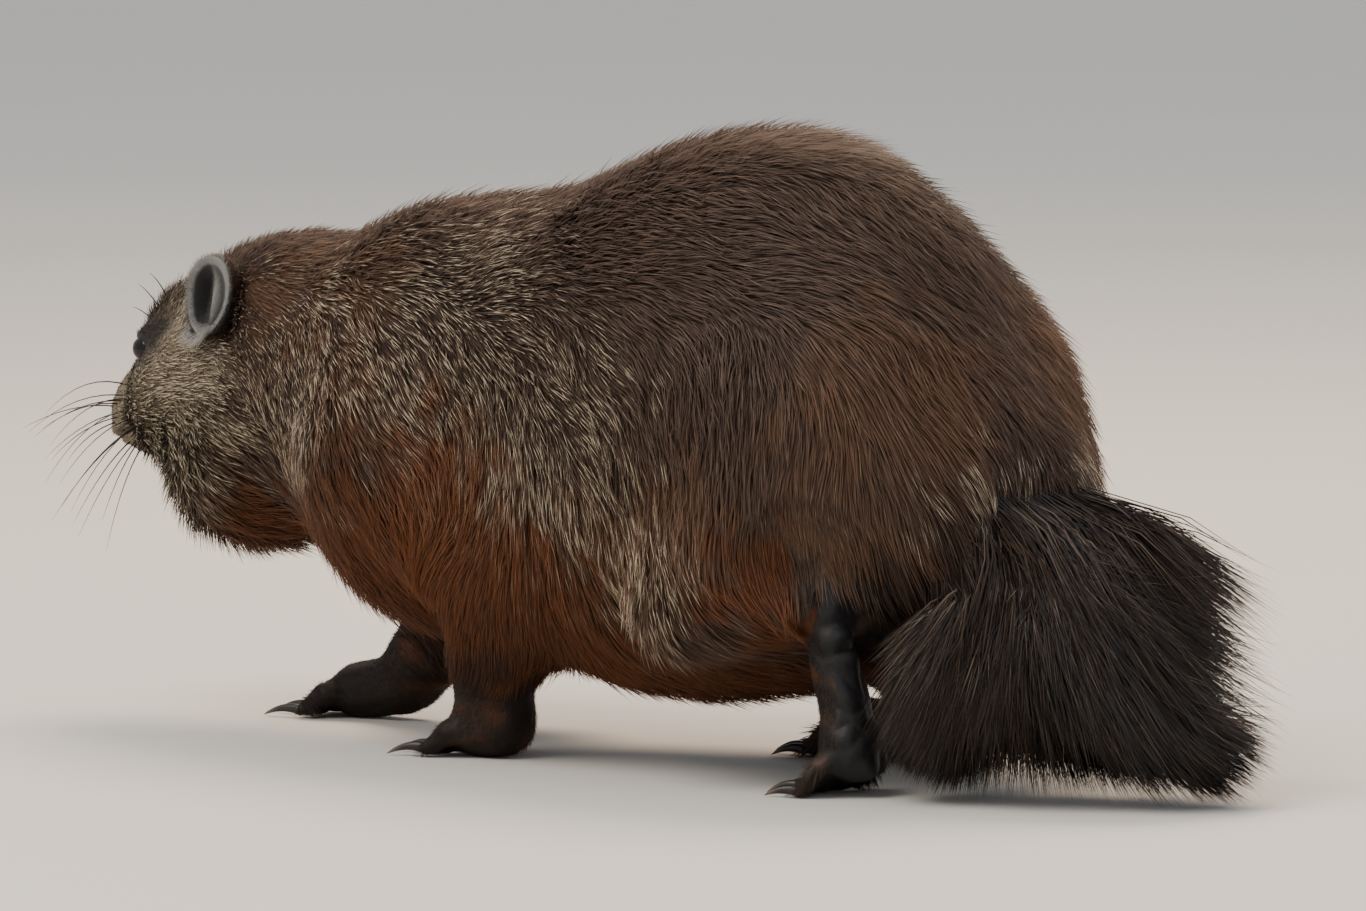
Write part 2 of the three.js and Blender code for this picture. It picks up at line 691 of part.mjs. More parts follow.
// Ears: round cups, open outwards and a little forwards, with a thick rim
const EAR_RINGS = [
  { out: -7, size: 0.5 },
  { out: -2, size: 0.82 },
  { out: 2.6, size: 0.98 },
  { out: 4.6, size: 1 },
  { out: 5.2, size: 0.9 },
  { out: 3.4, size: 0.78 },
  { out: -0.5, size: 0.62 },
  { out: -2.5, size: 0.3 },
];
function earSolid(s, rings, grow) {
  const sides = 16;
  const frame = new THREE.Matrix4().makeBasis(
    vec(headward([0.9, -0.12 * s, -0.4])),
    vec(headward([0.41, -0.12 * s, 0.9])),
    vec(headward([0.14, 0.97 * s, 0.16])),
  );
  const at = vec(skinPoint(onHead(onSide(EAR_WAY.from, s)), headward(onSide(EAR_WAY.out, s))));
  return bridge(
    rings.map(({ out, size }) =>
      Array.from({ length: sides }, (_, m) => {
        const angle = (2 * Math.PI * m) / sides;
        const rearward = Math.cos(angle);
        const p = new THREE.Vector3(
          (EAR_HALF_WIDTH * size + grow) * rearward,
          (EAR_HALF_HEIGHT * size + grow) * Math.sin(angle),
          out + (out > 0 ? 1.6 * rearward : -grow),
        );
        return p.applyMatrix4(frame).add(at);
      }),
    ),
  );
}
const earRoom = (s) => earSolid(s, [...EAR_RINGS.slice(0, 4), { out: 40, size: 1 }], GAP);

// Nose pad with its nostrils, and the line of the mouth
function noseSolid(grow) {
  const turn = [0, HEAD_PITCH, HEAD_YAW];
  const pad = ball(onHead(NOSE_AT), 1, 2, [6 + grow, 7.4 + grow, 5.4 + grow], turn);
  if (grow) return pad;
  const nostrils = [LEFT, RIGHT].map((s) =>
    ball(onHead([NOSE_AT[0] - 5, 3.6 * s, NOSE_AT[2] - 1.2]), 1, 1, [2.4, 1.5, 1.9], turn),
  );
  return pad.subtract(join(nostrils));
}

function mouthLine() {
  const { back: inward, height, reach } = MOUTH;
  const middle = [inward - NOSE_REACH, 0, height];
  const stops = 15;
  const stations = Array.from({ length: stops }, (_, n) => {
    const t = (2 * n) / (stops - 1) - 1;
    const angle = radians(reach * t);
    const way = headward([-Math.cos(angle), Math.sin(angle), 0.1 * Math.cos(angle)]);
    const ends = 1 - t ** 6;
    return { at: skinPoint(onHead(middle), way), wide: 0.6 + 1.8 * ends, thick: 0.25 + 0.45 * ends };
  });
  return loft(stations, 4, headward([0, 0, 1]));
}

// Head with sockets, lids, mouth line and room for nose and ears
function headSolid() {
  const { head } = PLANES;
  const bare = keep(netted(LOW[0], -150, HEAD_STEP), head.point, back(head.aft));
  const rooms = [LEFT, RIGHT].flatMap((s) => [ball(eye(s).at, EYE_RADIUS + GAP), earRoom(s)]);
  return bare
    .add(join([LEFT, RIGHT].map(lids)))
    .subtract(join([...rooms, noseSolid(GAP), mouthLine()]));
}

add("head", headSolid(), COATS.grizzled);
const earRooms = join([earRoom(LEFT), earRoom(RIGHT)]);
add(
  "neck",
  between(trunkSkin, PLANES.head, PLANES.neck).subtract(rootRoom).subtract(earRooms),
  COATS.grizzled,
);
add(
  "chest",
  between(trunkSkin, PLANES.neck, PLANES.chest).subtract(rootRoom).subtract(legRoom),
  COATS.grizzled,
);
add(
  "belly",
  between(trunkSkin, PLANES.chest, PLANES.belly).subtract(rootRoom).subtract(legRoom),
  COATS.back,
);
const rump = keep(trunkSkin, PLANES.belly.point, PLANES.belly.aft);
add("rump", rump.subtract(rootRoom).subtract(legRoom).subtract(tailCore(GAP)), COATS.back);
for (const [name, { at, size, turn }] of Object.entries(ROOTS)) {
  const made = trunkSkin.intersect(block(at, size, turn, -GAP / 2));
  add(name, made.subtract(legRoom), name.startsWith("upper") ? COATS.russet : COATS.back);
}
for (const [name, spec] of Object.entries(LOWER_LEGS)) {
  const { leg, step } = spec;
  const x = (leg.bend[0] + leg.end[0]) / 2;
  const onward = vec(leg.end).sub(vec(leg.bend)).toArray();
  const made = netted(x - 80, x + 80, step).intersect(lowerLegSleeve(spec, -GAP / 2));
  const foot = FEET[name.replace("forearm", "forefoot").replace("shank", "hindfoot")];
  const cut = foot.trim
    ? keep(made, foot.trim.point, back(foot.trim.down))
    : keep(made, leg.end, back(onward)).subtract(footSolid(foot, 2 * GAP));
  add(name, cut, COATS.russet);
}

for (const [name, foot] of Object.entries(FEET)) {
  add(name, footSolid(foot, 0), COATS.foot);
  toesOf(foot).forEach(({ claw }, n) => add(`claw_${name}_${n + 1}`, loft(claw, 5, [0, 0, 1]), COATS.claw));
}
const bodyRoom = surface(whole, LOW, HIGH, TRUNK_STEP, GAP + 0.2);
add("tail", join(tailLocks()).subtract(bodyRoom).add(tailCore(0)), COATS.tail);
const SIDES = { left: LEFT, right: RIGHT };
for (const [name, s] of Object.entries(SIDES)) {
  add(`eye_${name}`, ball(eye(s).at, EYE_RADIUS), COATS.eye);
  add(`ear_${name}`, earSolid(s, EAR_RINGS, 0), COATS.ear);
}
add("nose", noseSolid(0), COATS.bare);

// It stands on the floor over the middle of its outline.
const outline = new THREE.Box3().setFromObject(groundhog);
groundhog.position.set(-(outline.min.x + outline.max.x) / 2, -(outline.min.y + outline.max.y) / 2, 0);

export default groundhog;
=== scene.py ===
"""A still, life-size groundhog in mid walk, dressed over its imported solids.

The frame is in metres: +X to the tail, +Y to the animal's right, +Z up, the floor at 0. Places on the
animal are written in millimetres from the middle of its stride; `Stance` turns them into the frame's
metres, through the place that the nose has there. Colours are written as on a paint chart.
"""

from __future__ import annotations

import logging
import math
from dataclasses import dataclass, field
from enum import Enum
from typing import Any, Mapping, Optional, Sequence, Union

import bmesh
import bpy
import numpy as np
from bpy.types import Material, Mesh, NodeSocket, Object
from mathutils import Euler, Matrix, Vector
from mathutils.bvhtree import BVHTree
from mathutils.kdtree import KDTree


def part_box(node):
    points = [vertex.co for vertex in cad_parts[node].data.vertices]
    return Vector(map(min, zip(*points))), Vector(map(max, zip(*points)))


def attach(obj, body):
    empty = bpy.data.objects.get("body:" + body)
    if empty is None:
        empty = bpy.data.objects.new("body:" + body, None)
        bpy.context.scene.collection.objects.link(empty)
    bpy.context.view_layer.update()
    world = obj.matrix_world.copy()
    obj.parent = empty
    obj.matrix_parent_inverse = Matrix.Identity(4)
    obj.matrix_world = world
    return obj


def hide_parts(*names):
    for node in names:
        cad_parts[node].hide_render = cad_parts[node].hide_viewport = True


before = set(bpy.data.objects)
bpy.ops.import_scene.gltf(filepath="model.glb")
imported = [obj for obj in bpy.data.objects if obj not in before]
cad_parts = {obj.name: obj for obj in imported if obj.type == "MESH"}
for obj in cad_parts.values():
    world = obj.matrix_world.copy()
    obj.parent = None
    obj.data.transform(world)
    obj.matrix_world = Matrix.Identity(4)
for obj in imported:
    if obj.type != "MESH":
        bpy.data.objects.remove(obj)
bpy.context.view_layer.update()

LOG = logging.getLogger("groundhog")
MM = 0.001
BODY = "root"
BAKE_MAP = "OFBake"
SIDES = {"left": -1, "right": 1}

Array = np.ndarray
Point = tuple[float, float, float]
Faces = Sequence[tuple[int, ...]]


def unit(vectors: Array) -> Array:
    """Vectors scaled to length one."""
    return vectors / np.maximum(np.linalg.norm(vectors, axis=-1, keepdims=True), 1e-12)


def ease(x: Array) -> Array:
    """0 below 0, 1 above 1, and a smooth S between."""
    x = np.clip(x, 0.0, 1.0)
    return x * x * (3.0 - 2.0 * x)


def bell(*off: Array) -> Array:
    """1 where all the numbers are 0, and less the further they are from it."""
    return np.exp(-sum(x**2 for x in off))


def across(vectors: Array, normals: Array) -> Array:
    """The part of each vector that lies in the surface, at length one."""
    return unit(vectors - normals * np.sum(vectors * normals, axis=1, keepdims=True))


def round_about(sides: int) -> Array:
    """Angles evenly round a circle."""
    return np.linspace(0, 2 * math.pi, sides, endpoint=False)


def on_ball(off: Array, turn: Array) -> Array:
    """Places on a ball of radius one, by their angle off its axis and round it."""
    return np.stack([np.sin(off) * np.cos(turn), np.sin(off) * np.sin(turn), np.cos(off)], axis=1)


def ball_grid(rings: int, sides: int, gap: float) -> tuple[Array, Array]:
    """The angles off a ball's axis and round it, ring by ring, with a gap left at both poles."""
    return np.repeat(np.linspace(gap, math.pi - gap, rings), sides), np.tile(round_about(sides), rings)


def from_segment(points: Array, start: Point, end: Point) -> tuple[Array, Array]:
    """How far points are from a segment, and how far along it is their nearest place, from 0 to 1."""
    a, b = np.array(start), np.array(end)
    t = np.clip((points - a) @ (b - a) / ((b - a) @ (b - a)), 0, 1)
    return np.linalg.norm(points - a - t[:, None] * (b - a), axis=1), t


def on_curve(points: Sequence[Point], t: Array) -> Array:
    """Places on a smooth line through points, for t from 0 to 1."""
    p = np.array(points, float)
    p = np.vstack([2 * p[0] - p[1], p, 2 * p[-1] - p[-2]])
    at = np.clip(np.asarray(t, float), 0, 1) * (len(points) - 1)
    k = np.minimum(at.astype(int), len(points) - 2)
    u = (at - k)[:, None]
    a, b, c, d = (p[k + i] for i in range(4))
    return 0.5 * (2 * b + (c - a) * u + (2 * a - 5 * b + 4 * c - d) * u**2 + (3 * b - a - 3 * c + d) * u**3)


@dataclass(frozen=True)
class Stance:
    """How the animal stands in the frame, and how its head is turned.

    Attributes:
        skull: The middle of the skull, in the animal's millimetres.
        pitch: Degrees that the head is turned about its own Y; below 0 the nose points down.
        yaw: Degrees that the head is turned about its own Z; below 0 it turns to its right.
        nose: The nose pad's middle, in the head's own millimetres.
    """

    skull: Point = (-247.0, 5.0, 153.0)
    pitch: float = -22.0
    yaw: float = -12.0
    nose: Point = (-94.0, 0.0, -4.0)

    def head_turn(self) -> Array:
        """The head's own axes, as the columns of a 3x3 array."""
        return np.array(Euler((0.0, math.radians(self.pitch), math.radians(self.yaw))).to_matrix())

    def on_head(self, points: Any) -> Array:
        """Places given in the head's frame, in the animal's millimetres."""
        return np.asarray(points, float) @ self.head_turn().T + np.array(self.skull)

    def in_head(self, points: Array) -> Array:
        """The animal's millimetres turned into the head's frame."""
        return (points - np.array(self.skull)) @ self.head_turn()

    def headward(self, ways: Any) -> Array:
        """Directions given in the head's frame, in the animal's."""
        return np.asarray(ways, float) @ self.head_turn().T

    def middle_of(self, node: str) -> Array:
        """The middle of a solid's box, in the frame's metres."""
        low, high = (np.array(corner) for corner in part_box(node))
        return (low + high) / 2

    def origin(self) -> Array:
        """Where the animal's own 0, 0, 0 lies in the frame, in metres."""
        return self.middle_of("nose") - self.on_head(self.nose) * MM

    def metres(self, points: Any) -> Array:
        """The animal's millimetres turned into the frame's metres."""
        return np.asarray(points, float) * MM + self.origin()

    def millimetres(self, points: Array) -> Array:
        """The frame's metres turned into the animal's millimetres."""
        return (points - self.origin()) / MM


STANCE = Stance()


@dataclass
class Drift:
    """A smooth random field over space, made of a few waves.

    Attributes:
        wavelength: The usual distance between two crests, in millimetres.
        seed: Fixes the field.
        waves: How many waves are added.
    """

    wavelength: float
    seed: int
    waves: int = 16

    def __post_init__(self) -> None:
        """Draws the waves."""
        rng = np.random.default_rng(self.seed)
        pitch = self.wavelength * rng.uniform(0.6, 1.8, (self.waves, 1))
        self.ways = unit(rng.normal(size=(self.waves, 3))) * 2 * math.pi / pitch
        self.phases = rng.uniform(0, 2 * math.pi, (3, self.waves))

    def at(self, points: Array, which: int = 0) -> Array:
        """One number for each point, mostly between -1 and 1."""
        return np.sin(points @ self.ways.T + self.phases[which]).sum(1) * math.sqrt(2 / self.waves)

    def vectors(self, points: Array) -> Array:
        """Three such numbers for each point."""
        return np.stack([self.at(points, which) for which in range(3)], axis=1)


@dataclass(frozen=True)
class Patch:
    """A soft-edged region of the body, an ellipsoid in millimetres.

    Attributes:
        at: Its middle.
        radii: Its half sizes.
        edge: The share of the radii over which it fades out.
        twin: Whether it has a twin on the other side of the body.
        on_head: Whether it is given in the head's frame.
    """

    at: Point
    radii: Point
    edge: float = 0.5
    twin: bool = False
    on_head: bool = False

    def cover(self, points: Array) -> Array:
        """How much of each point it covers, from 0 to 1."""
        q = STANCE.in_head(points) if self.on_head else points.copy()
        if self.twin:
            q[:, 1] = np.abs(q[:, 1])
        far = np.linalg.norm((q - np.array(self.at)) / np.array(self.radii), axis=1)
        return ease((1 + self.edge / 2 - far) / self.edge)


@dataclass(frozen=True)
class Run:
    """A soft-edged region along a chain of points, in millimetres."""

    points: tuple[Point, ...]
    radius: float
    edge: float = 0.5

    def cover(self, points: Array) -> Array:
        """How much of each point it covers, from 0 to 1."""
        far = np.full(len(points), np.inf)
        for start, end in zip(self.points, self.points[1:]):
            far = np.minimum(far, from_segment(points, start, end)[0])
        return ease((1 + self.edge / 2 - far / self.radius) / self.edge)


Region = Union[Patch, Run]


def added_up(pairs: Sequence[tuple[Region, float]], points: Array) -> Array:
    """The numbers of all regions that cover each point, each as far as it does."""
    return sum(number * region.cover(points) for region, number in pairs)


class Mark(Enum):
    """The colour regions of the coat, each kept as an attribute of that name."""

    RUSSET = "russet"
    GRIZZLE = "grizzle"
    DARK = "dark"
    TAN = "tan"
    PALE = "pale"


MARKS: Mapping[Mark, tuple[Region, ...]] = {
    Mark.RUSSET: (
        Patch((-218, 2, 68), (58, 54, 32), 0.6),
        Patch((-124, 0, 68), (92, 122, 62), 0.5),
        Run(((-98, -60, 98), (-52, -68, 66), (-84, -44, 34)), 38, 0.6),
        Run(((-152, 48, 84), (-146, 52, 62), (-196, 40, 34)), 32, 0.7),
        Patch((-20, 0, 34), (130, 70, 34), 0.7),
        Run(((60, -74, 84), (62, -74, 62), (64, -68, 44)), 20, 0.8),
        Run(((0, 66, 74), (26, 60, 44), (44, 54, 28)), 26, 0.8),
    ),
    Mark.GRIZZLE: (
        Patch((-20, 30, -16), (50, 30, 40), 0.8, True, True),
        Patch((-186, 44, 136), (52, 44, 36), 0.9, True),
        Patch((-114, 56, 160), (54, 44, 50), 0.9, True),
        Run(((-190, -36, 177), (-171, -54, 166), (-161, -60, 108)), 9, 1.0),
        Patch((-40, 78, 124), (44, 34, 46), 0.9, True),
        Patch((2, 84, 86), (34, 30, 30), 0.8, True),
        Patch((122, 34, 118), (30, 26, 13), 1.0, True),
    ),
    Mark.DARK: (
        Patch((-52, 0, 16), (42, 19, 13), 0.9, False, True),
        Patch((-46, 22, 6), (17, 14, 12), 0.8, True, True),
        Run(((-99, -40, 14), (-128, -38, 8)), 26, 0.9),
        Run(((-212, 40, 18), (-250, 39, 8)), 26, 0.9),
        Run(((88, -63, 62), (92, -59, 16), (70, -58, 8)), 21, 0.7),
        Run(((58, 52, 12), (30, 52, 10), (-20, 51, 8)), 22, 0.7),
        Patch((126, -40, 58), (30, 40, 46), 1.0),
        # These two darken the lower forearms above the feet: painted shade, not a colour of the coat.
        Run(((-96, -46, 34), (-99, -40, 14)), 20, 1.4),
        Run(((-190, 42, 34), (-212, 40, 18)), 20, 1.4),
    ),
    Mark.TAN: (
        Patch((100, 48, 152), (34, 34, 38), 0.9, True),
        Patch((26, 74, 94), (30, 26, 36), 0.9, True),
        Patch((-156, 52, 158), (17, 30, 44), 1.0, True),
        Patch((-204, 44, 168), (24, 28, 24), 1.0, True),
        Patch((-6, 74, 74), (26, 30, 34), 0.9, True),
        Patch((100, 46, 96), (40, 30, 30), 0.9, True),
    ),
    Mark.PALE: (
        Patch((-84, 0, -15), (24, 22, 12), 0.9, False, True),
        Patch((-34, 32, -18), (42, 28, 34), 0.9, True, True),
        Patch((-66, 18, -10), (34, 22, 18), 0.9, True, True),
        Patch((3, 40, -5), (9, 10, 10), 0.9, True, True),
        Run(((-186, -41, 175), (-171, -54, 166), (-162, -59, 122)), 5, 1.3),
    ),
}
# The coat's length, in millimetres. Where two regions meet, the later one counts.
LENGTHS: tuple[tuple[Region, float], ...] = (
    (Patch((-20, 0, 34), (150, 70, 30), 0.8), 18.0),
    (Patch((-200, 0, 120), (60, 80, 90), 1.0), 16.0),
    (Patch((-30, 0, -40), (44, 40, 20), 0.9, False, True), 20.0),
    (Patch((4, 0, -6), (52, 50, 44), 0.9, False, True), 10.0),
    (Patch((-46, 0, -4), (42, 38, 30), 0.9, False, True), 5.5),
    (Patch((-84, 0, -10), (34, 25, 21), 0.9, False, True), 2.4),
    (Patch((-60, 0, -37), (28, 26, 11), 1.0, False, True), 10.0),
    (Patch((-46, 23, 6), (15, 12, 12), 0.9, True, True), 3.8),
    (Patch((120, -34, 66), (30, 36, 44), 0.9), 40.0),
    (Patch((82, -74, 104), (20, 24, 18), 0.9), 9.0),
    (Run(((-80, -56, 66), (-98, -40, 30)), 34, 0.8), 14.0),
    (Run(((-146, 52, 62), (-196, 40, 30)), 32, 0.8), 13.0),
    (Run(((-100, -40, 16), (-128, -38, 8)), 25, 1.0), 3.2),
    (Run(((-212, 40, 18), (-250, 39, 8)), 25, 1.0), 3.2),
    (Run(((88, -63, 60), (92, -59, 16), (70, -58, 8)), 20, 0.9), 3.2),
    (Run(((54, 52, 14), (30, 52, 11), (-20, 51, 8)), 20, 0.9), 3.2),
)
# How much deeper than elsewhere the hide lies under the solids' surface, in millimetres.
FULLER: tuple[tuple[Region, float], ...] = (
    (Patch((116, 44, 158), (42, 42, 48), 0.9), 4.8),
    (Patch((40, 0, 226), (70, 60, 26), 1.0), 2.0),
    (Patch((-28, 0, 26), (38, 30, 16), 0.9, False, True), -3.0),
    (Patch((-205, 0, 184), (50, 60, 30), 1.0), -2.2),
    (Patch((-60, 0, -34), (28, 26, 14), 1.0, False, True), -2.0),
)
# How much more than elsewhere the hair stands up, in degrees.
RAISED: tuple[tuple[Region, float], ...] = (
    (Patch((-28, 0, 26), (44, 30, 22), 0.9, False, True), 12.0),
    (Patch((-30, 0, -38), (44, 44, 24), 0.9, False, True), 15.0),
)
# The bare strip up the left heel, and the way it faces.
HEEL = Run(((88, -67, 70), (91, -66, 56), (96, -61, 10)), 12, 0.4)
HEEL_FACING: Point = (1.0, 0.0, -0.1)
# The back's line and the throat's, and how much each draws the coat its way.
FLOW: tuple[tuple[float, tuple[Point, ...]], ...] = (
    (1.0, ((-235, 4, 150), (-150, 0, 150), (-60, 0, 140), (40, 0, 150), (92, 0, 132), (128, 0, 104))),
    (0.5, ((-270, 8, 84), (-215, 2, 66), (-150, 0, 52), (-40, 0, 40), (60, 0, 50))),
)
# Each leg's joints from the top to the toes: both fore legs, then both hind legs, the left one first.
LEGS: tuple[tuple[Point, ...], ...] = (
    ((-146, -40, 116), (-78, -54, 72), (-98, -40, 27), (-128, -38, 8)),
    ((-160, 40, 114), (-146, 52, 64), (-199, 40, 26), (-250, 39, 8)),
    ((62, -44, 122), (27, -74, 72), (80, -65, 60), (70, -58, 8)),
    ((60, 44, 118), (-8, 70, 62), (50, 52, 20), (-20, 51, 8)),
)
LEG_PULLS = (0.25, 0.8, 1.2)  # how much a leg's upper part, lower part and foot draw the coat their way


@dataclass
class Pelt:
    """What the coat is like at any point of the body: its lie, length and markings.

    Attributes:
        body_length: The coat's length where LENGTHS names no other, in millimetres.
        depth_share: How deep the dense part of the coat is, as a share of its length.
        deepest: The most that this can be, in millimetres.
        droop: How much the coat of the sides hangs down.
        whorl: The place that the head's coat lies away from, in the head's frame.
        sole: The height that the undersides of the feet are bare up to, in millimetres.
        wander: Bends the coat's lie in broad waves.
        curl: Bends it in small ones.
        ragged: Frays the markings' edges.
    """

    body_length: float = 20.0
    depth_share: float = 0.15
    deepest: float = 4.0
    droop: float = 0.55
    whorl: Point = (-112.0, 0.0, -2.0)
    sole: float = 2.6
    wander: Drift = field(default_factory=lambda: Drift(46.0, 5))
    curl: Drift = field(default_factory=lambda: Drift(15.0, 11))
    ragged: Drift = field(default_factory=lambda: Drift(17.0, 23))

    def length(self, points: Array) -> Array:
        """The coat's length at each point, in millimetres."""
        found = np.full(len(points), self.body_length)
        for region, length in LENGTHS:
            cover = region.cover(points)
            found = found * (1 - cover) + length * cover
        return found

    def depth(self, points: Array) -> Array:
        """How far under the solids' surface the hide lies, in millimetres."""
        return np.minimum(self.length(points) * self.depth_share, self.deepest) + added_up(FULLER, points)

    def lie(self, points: Array, normals: Array) -> Array:
        """The way the coat lies at each point, in the surface.

        Args:
            points: Places on the hide, in millimetres.
            normals: The ways out of the hide there.

        Returns:
            One direction for each point.
        """
        flow = np.zeros_like(points)
        stretches = [(pull, pair) for pull, line in FLOW for pair in zip(line, line[1:])]
        stretches += [stretch for leg in LEGS for stretch in zip(LEG_PULLS, zip(leg, leg[1:]))]
        for pull, (start, end) in stretches:
            far, _ = from_segment(points, start, end)
            way = unit(np.array(end, float) - np.array(start, float))
            flow += (pull / np.maximum(far, 4.0) ** 4)[:, None] * way
        flow = unit(flow)
        head = ease((STANCE.in_head(points)[:, 0] * -1 + 52) / 60)[:, None]
        flow = unit(flow * (1 - head) + unit(points - STANCE.on_head(self.whorl)) * head)
        side = 1 - np.abs(normals[:, 2:])
        flow = across(flow + np.array([0.0, 0.0, -self.droop]) * side * (1 - 0.7 * head), normals)
        loose = 0.13 - 0.05 * head
        return across(flow + loose * self.wander.vectors(points) + 0.07 * self.curl.vectors(points), normals)

    def bare(self, points: Array, normals: Array) -> Array:
        """How bare the skin is, from 0 to 1: the heel's strip, and the undersides of all the feet."""
        heel = HEEL.cover(points) * ease((normals @ unit(np.array(HEEL_FACING)) + 0.05) / 0.45)
        return np.maximum(heel, ease((self.sole - points[:, 2]) / 1.4))

    def markings(self, points: Array) -> dict[str, Array]:
        """How strong each colour region is at each point, from 0 to 1, with finer edges on the head."""
        ragged = points + 7.0 * self.ragged.vectors(points)
        head = ease(-STANCE.in_head(points)[:, 0] / 40)[:, None]
        ragged = ragged * (1 - head) + (points + 1.6 * self.curl.vectors(points)) * head
        return {
            mark.value: np.max([region.cover(ragged) for region in regions], axis=0)
            for mark, regions in MARKS.items()
        }


class Sock:
    """A node's output that takes part in plain arithmetic."""

    def __init__(self, graph: Graph, socket: Optional[NodeSocket]) -> None:
        """Wraps an output socket of a graph."""
        self.graph = graph
        self.socket = socket

    def _math(self, operation: str, *values: Any) -> Sock:
        """A Math node on values or links."""
        return self.graph.node("ShaderNodeMath", {"operation": operation}, dict(enumerate(values)))

    def __add__(self, other: Any) -> Sock:
        """self + other."""
        return self._math("ADD", self, other)

    def __radd__(self, other: Any) -> Sock:
        """other + self."""
        return self._math("ADD", other, self)

    def __sub__(self, other: Any) -> Sock:
        """self - other."""
        return self._math("SUBTRACT", self, other)

    def __rsub__(self, other: Any) -> Sock:
        """other - self."""
        return self._math("SUBTRACT", other, self)

    def __mul__(self, other: Any) -> Sock:
        """self * other."""
        return self._math("MULTIPLY", self, other)

    def __rmul__(self, other: Any) -> Sock:
        """other * self."""
        return self._math("MULTIPLY", other, self)

    def ramp(self, low: float, high: float) -> Sock:
        """0 at low and 1 at high, smooth between."""
        values = {"Value": self, "From Min": low, "From Max": high}
        return self.graph.node("ShaderNodeMapRange", {"interpolation_type": "SMOOTHSTEP"}, values)


def paint(chart: str) -> tuple[float, float, float, float]:
    """A colour as written on a paint chart, turned into light."""
    parts = [int(chart[i : i + 2], 16) / 255 for i in (1, 3, 5)]
    linear = [c / 12.92 if c <= 0.04045 else ((c + 0.055) / 1.055) ** 2.4 for c in parts]
    return (linear[0], linear[1], linear[2], 1.0)


class Graph:
    """A material and the nodes that are added to it."""

    MIX_SOCKETS = (0, 6, 7, 2)  # factor, A, B and the colour result of a Mix node

    def __init__(self, name: str) -> None:
        """Makes an empty material."""
        self.material = bpy.data.materials.new(name)
        self.material.use_nodes = True
        self.tree = self.material.node_tree
        self.tree.nodes.clear()

    def node(
        self,
        kind: str,
        settings: Optional[Mapping[str, Any]] = None,
        values: Optional[Mapping[Union[str, int], Any]] = None,
        out: Union[str, int] = 0,
    ) -> Sock:
        """Adds a node.

        Args:
            kind: The node's type.
            settings: Its properties.
            values: A value, chart colour or link for each input, by name or number.
            out: The output to hand back.

        Returns:
            That output, wrapped.
        """
        made = self.tree.nodes.new(kind)
        for key, value in (settings or {}).items():
            setattr(made, key, value)
        for key, value in (values or {}).items():
            if isinstance(value, Sock):
                self.tree.links.new(value.socket, made.inputs[key])
            else:
                made.inputs[key].default_value = paint(value) if isinstance(value, str) else value
        return Sock(self, made.outputs[out] if made.outputs else None)

    def attribute(self, name: str) -> Sock:
        """A number kept on the mesh."""
        return self.node("ShaderNodeAttribute", {"attribute_name": name}, out="Fac")

    def place(self) -> Sock:
        """The point's own place on the object."""
        return self.node("ShaderNodeTexCoord", out="Object")

    def noise(self, scale: float, detail: float = 2.0, roughness: float = 0.5) -> Sock:
        """Smooth noise from 0 to 1, with `scale` features in a metre."""
        values = {"Scale": scale, "Detail": detail, "Roughness": roughness, "Vector": self.place()}
        return self.node("ShaderNodeTexNoise", None, values)

    def mix(self, factor: Any, a: Any, b: Any, blend: str = "MIX") -> Sock:
        """Colour a where factor is 0 and b, or the two blended, where it is 1."""
        fac, first, second, result = self.MIX_SOCKETS
        settings = {"data_type": "RGBA", "blend_type": blend}
        return self.node("ShaderNodeMix", settings, {fac: factor, first: a, second: b}, result)

    def bump(self, height: Sock, strength: float, distance: float) -> Sock:
        """A normal from a height in metres times distance."""
        values = {"Strength": strength, "Distance": distance, "Height": height}
        return self.node("ShaderNodeBump", None, values)

    def finish(self, **values: Any) -> Material:
        """Ends the material in a Principled shader with these inputs, underscores for spaces."""
        named = {key.replace("_", " "): value for key, value in values.items()}
        shader = self.node("ShaderNodeBsdfPrincipled", None, named)
        self.node("ShaderNodeOutputMaterial", None, {"Surface": shader})
        return self.material


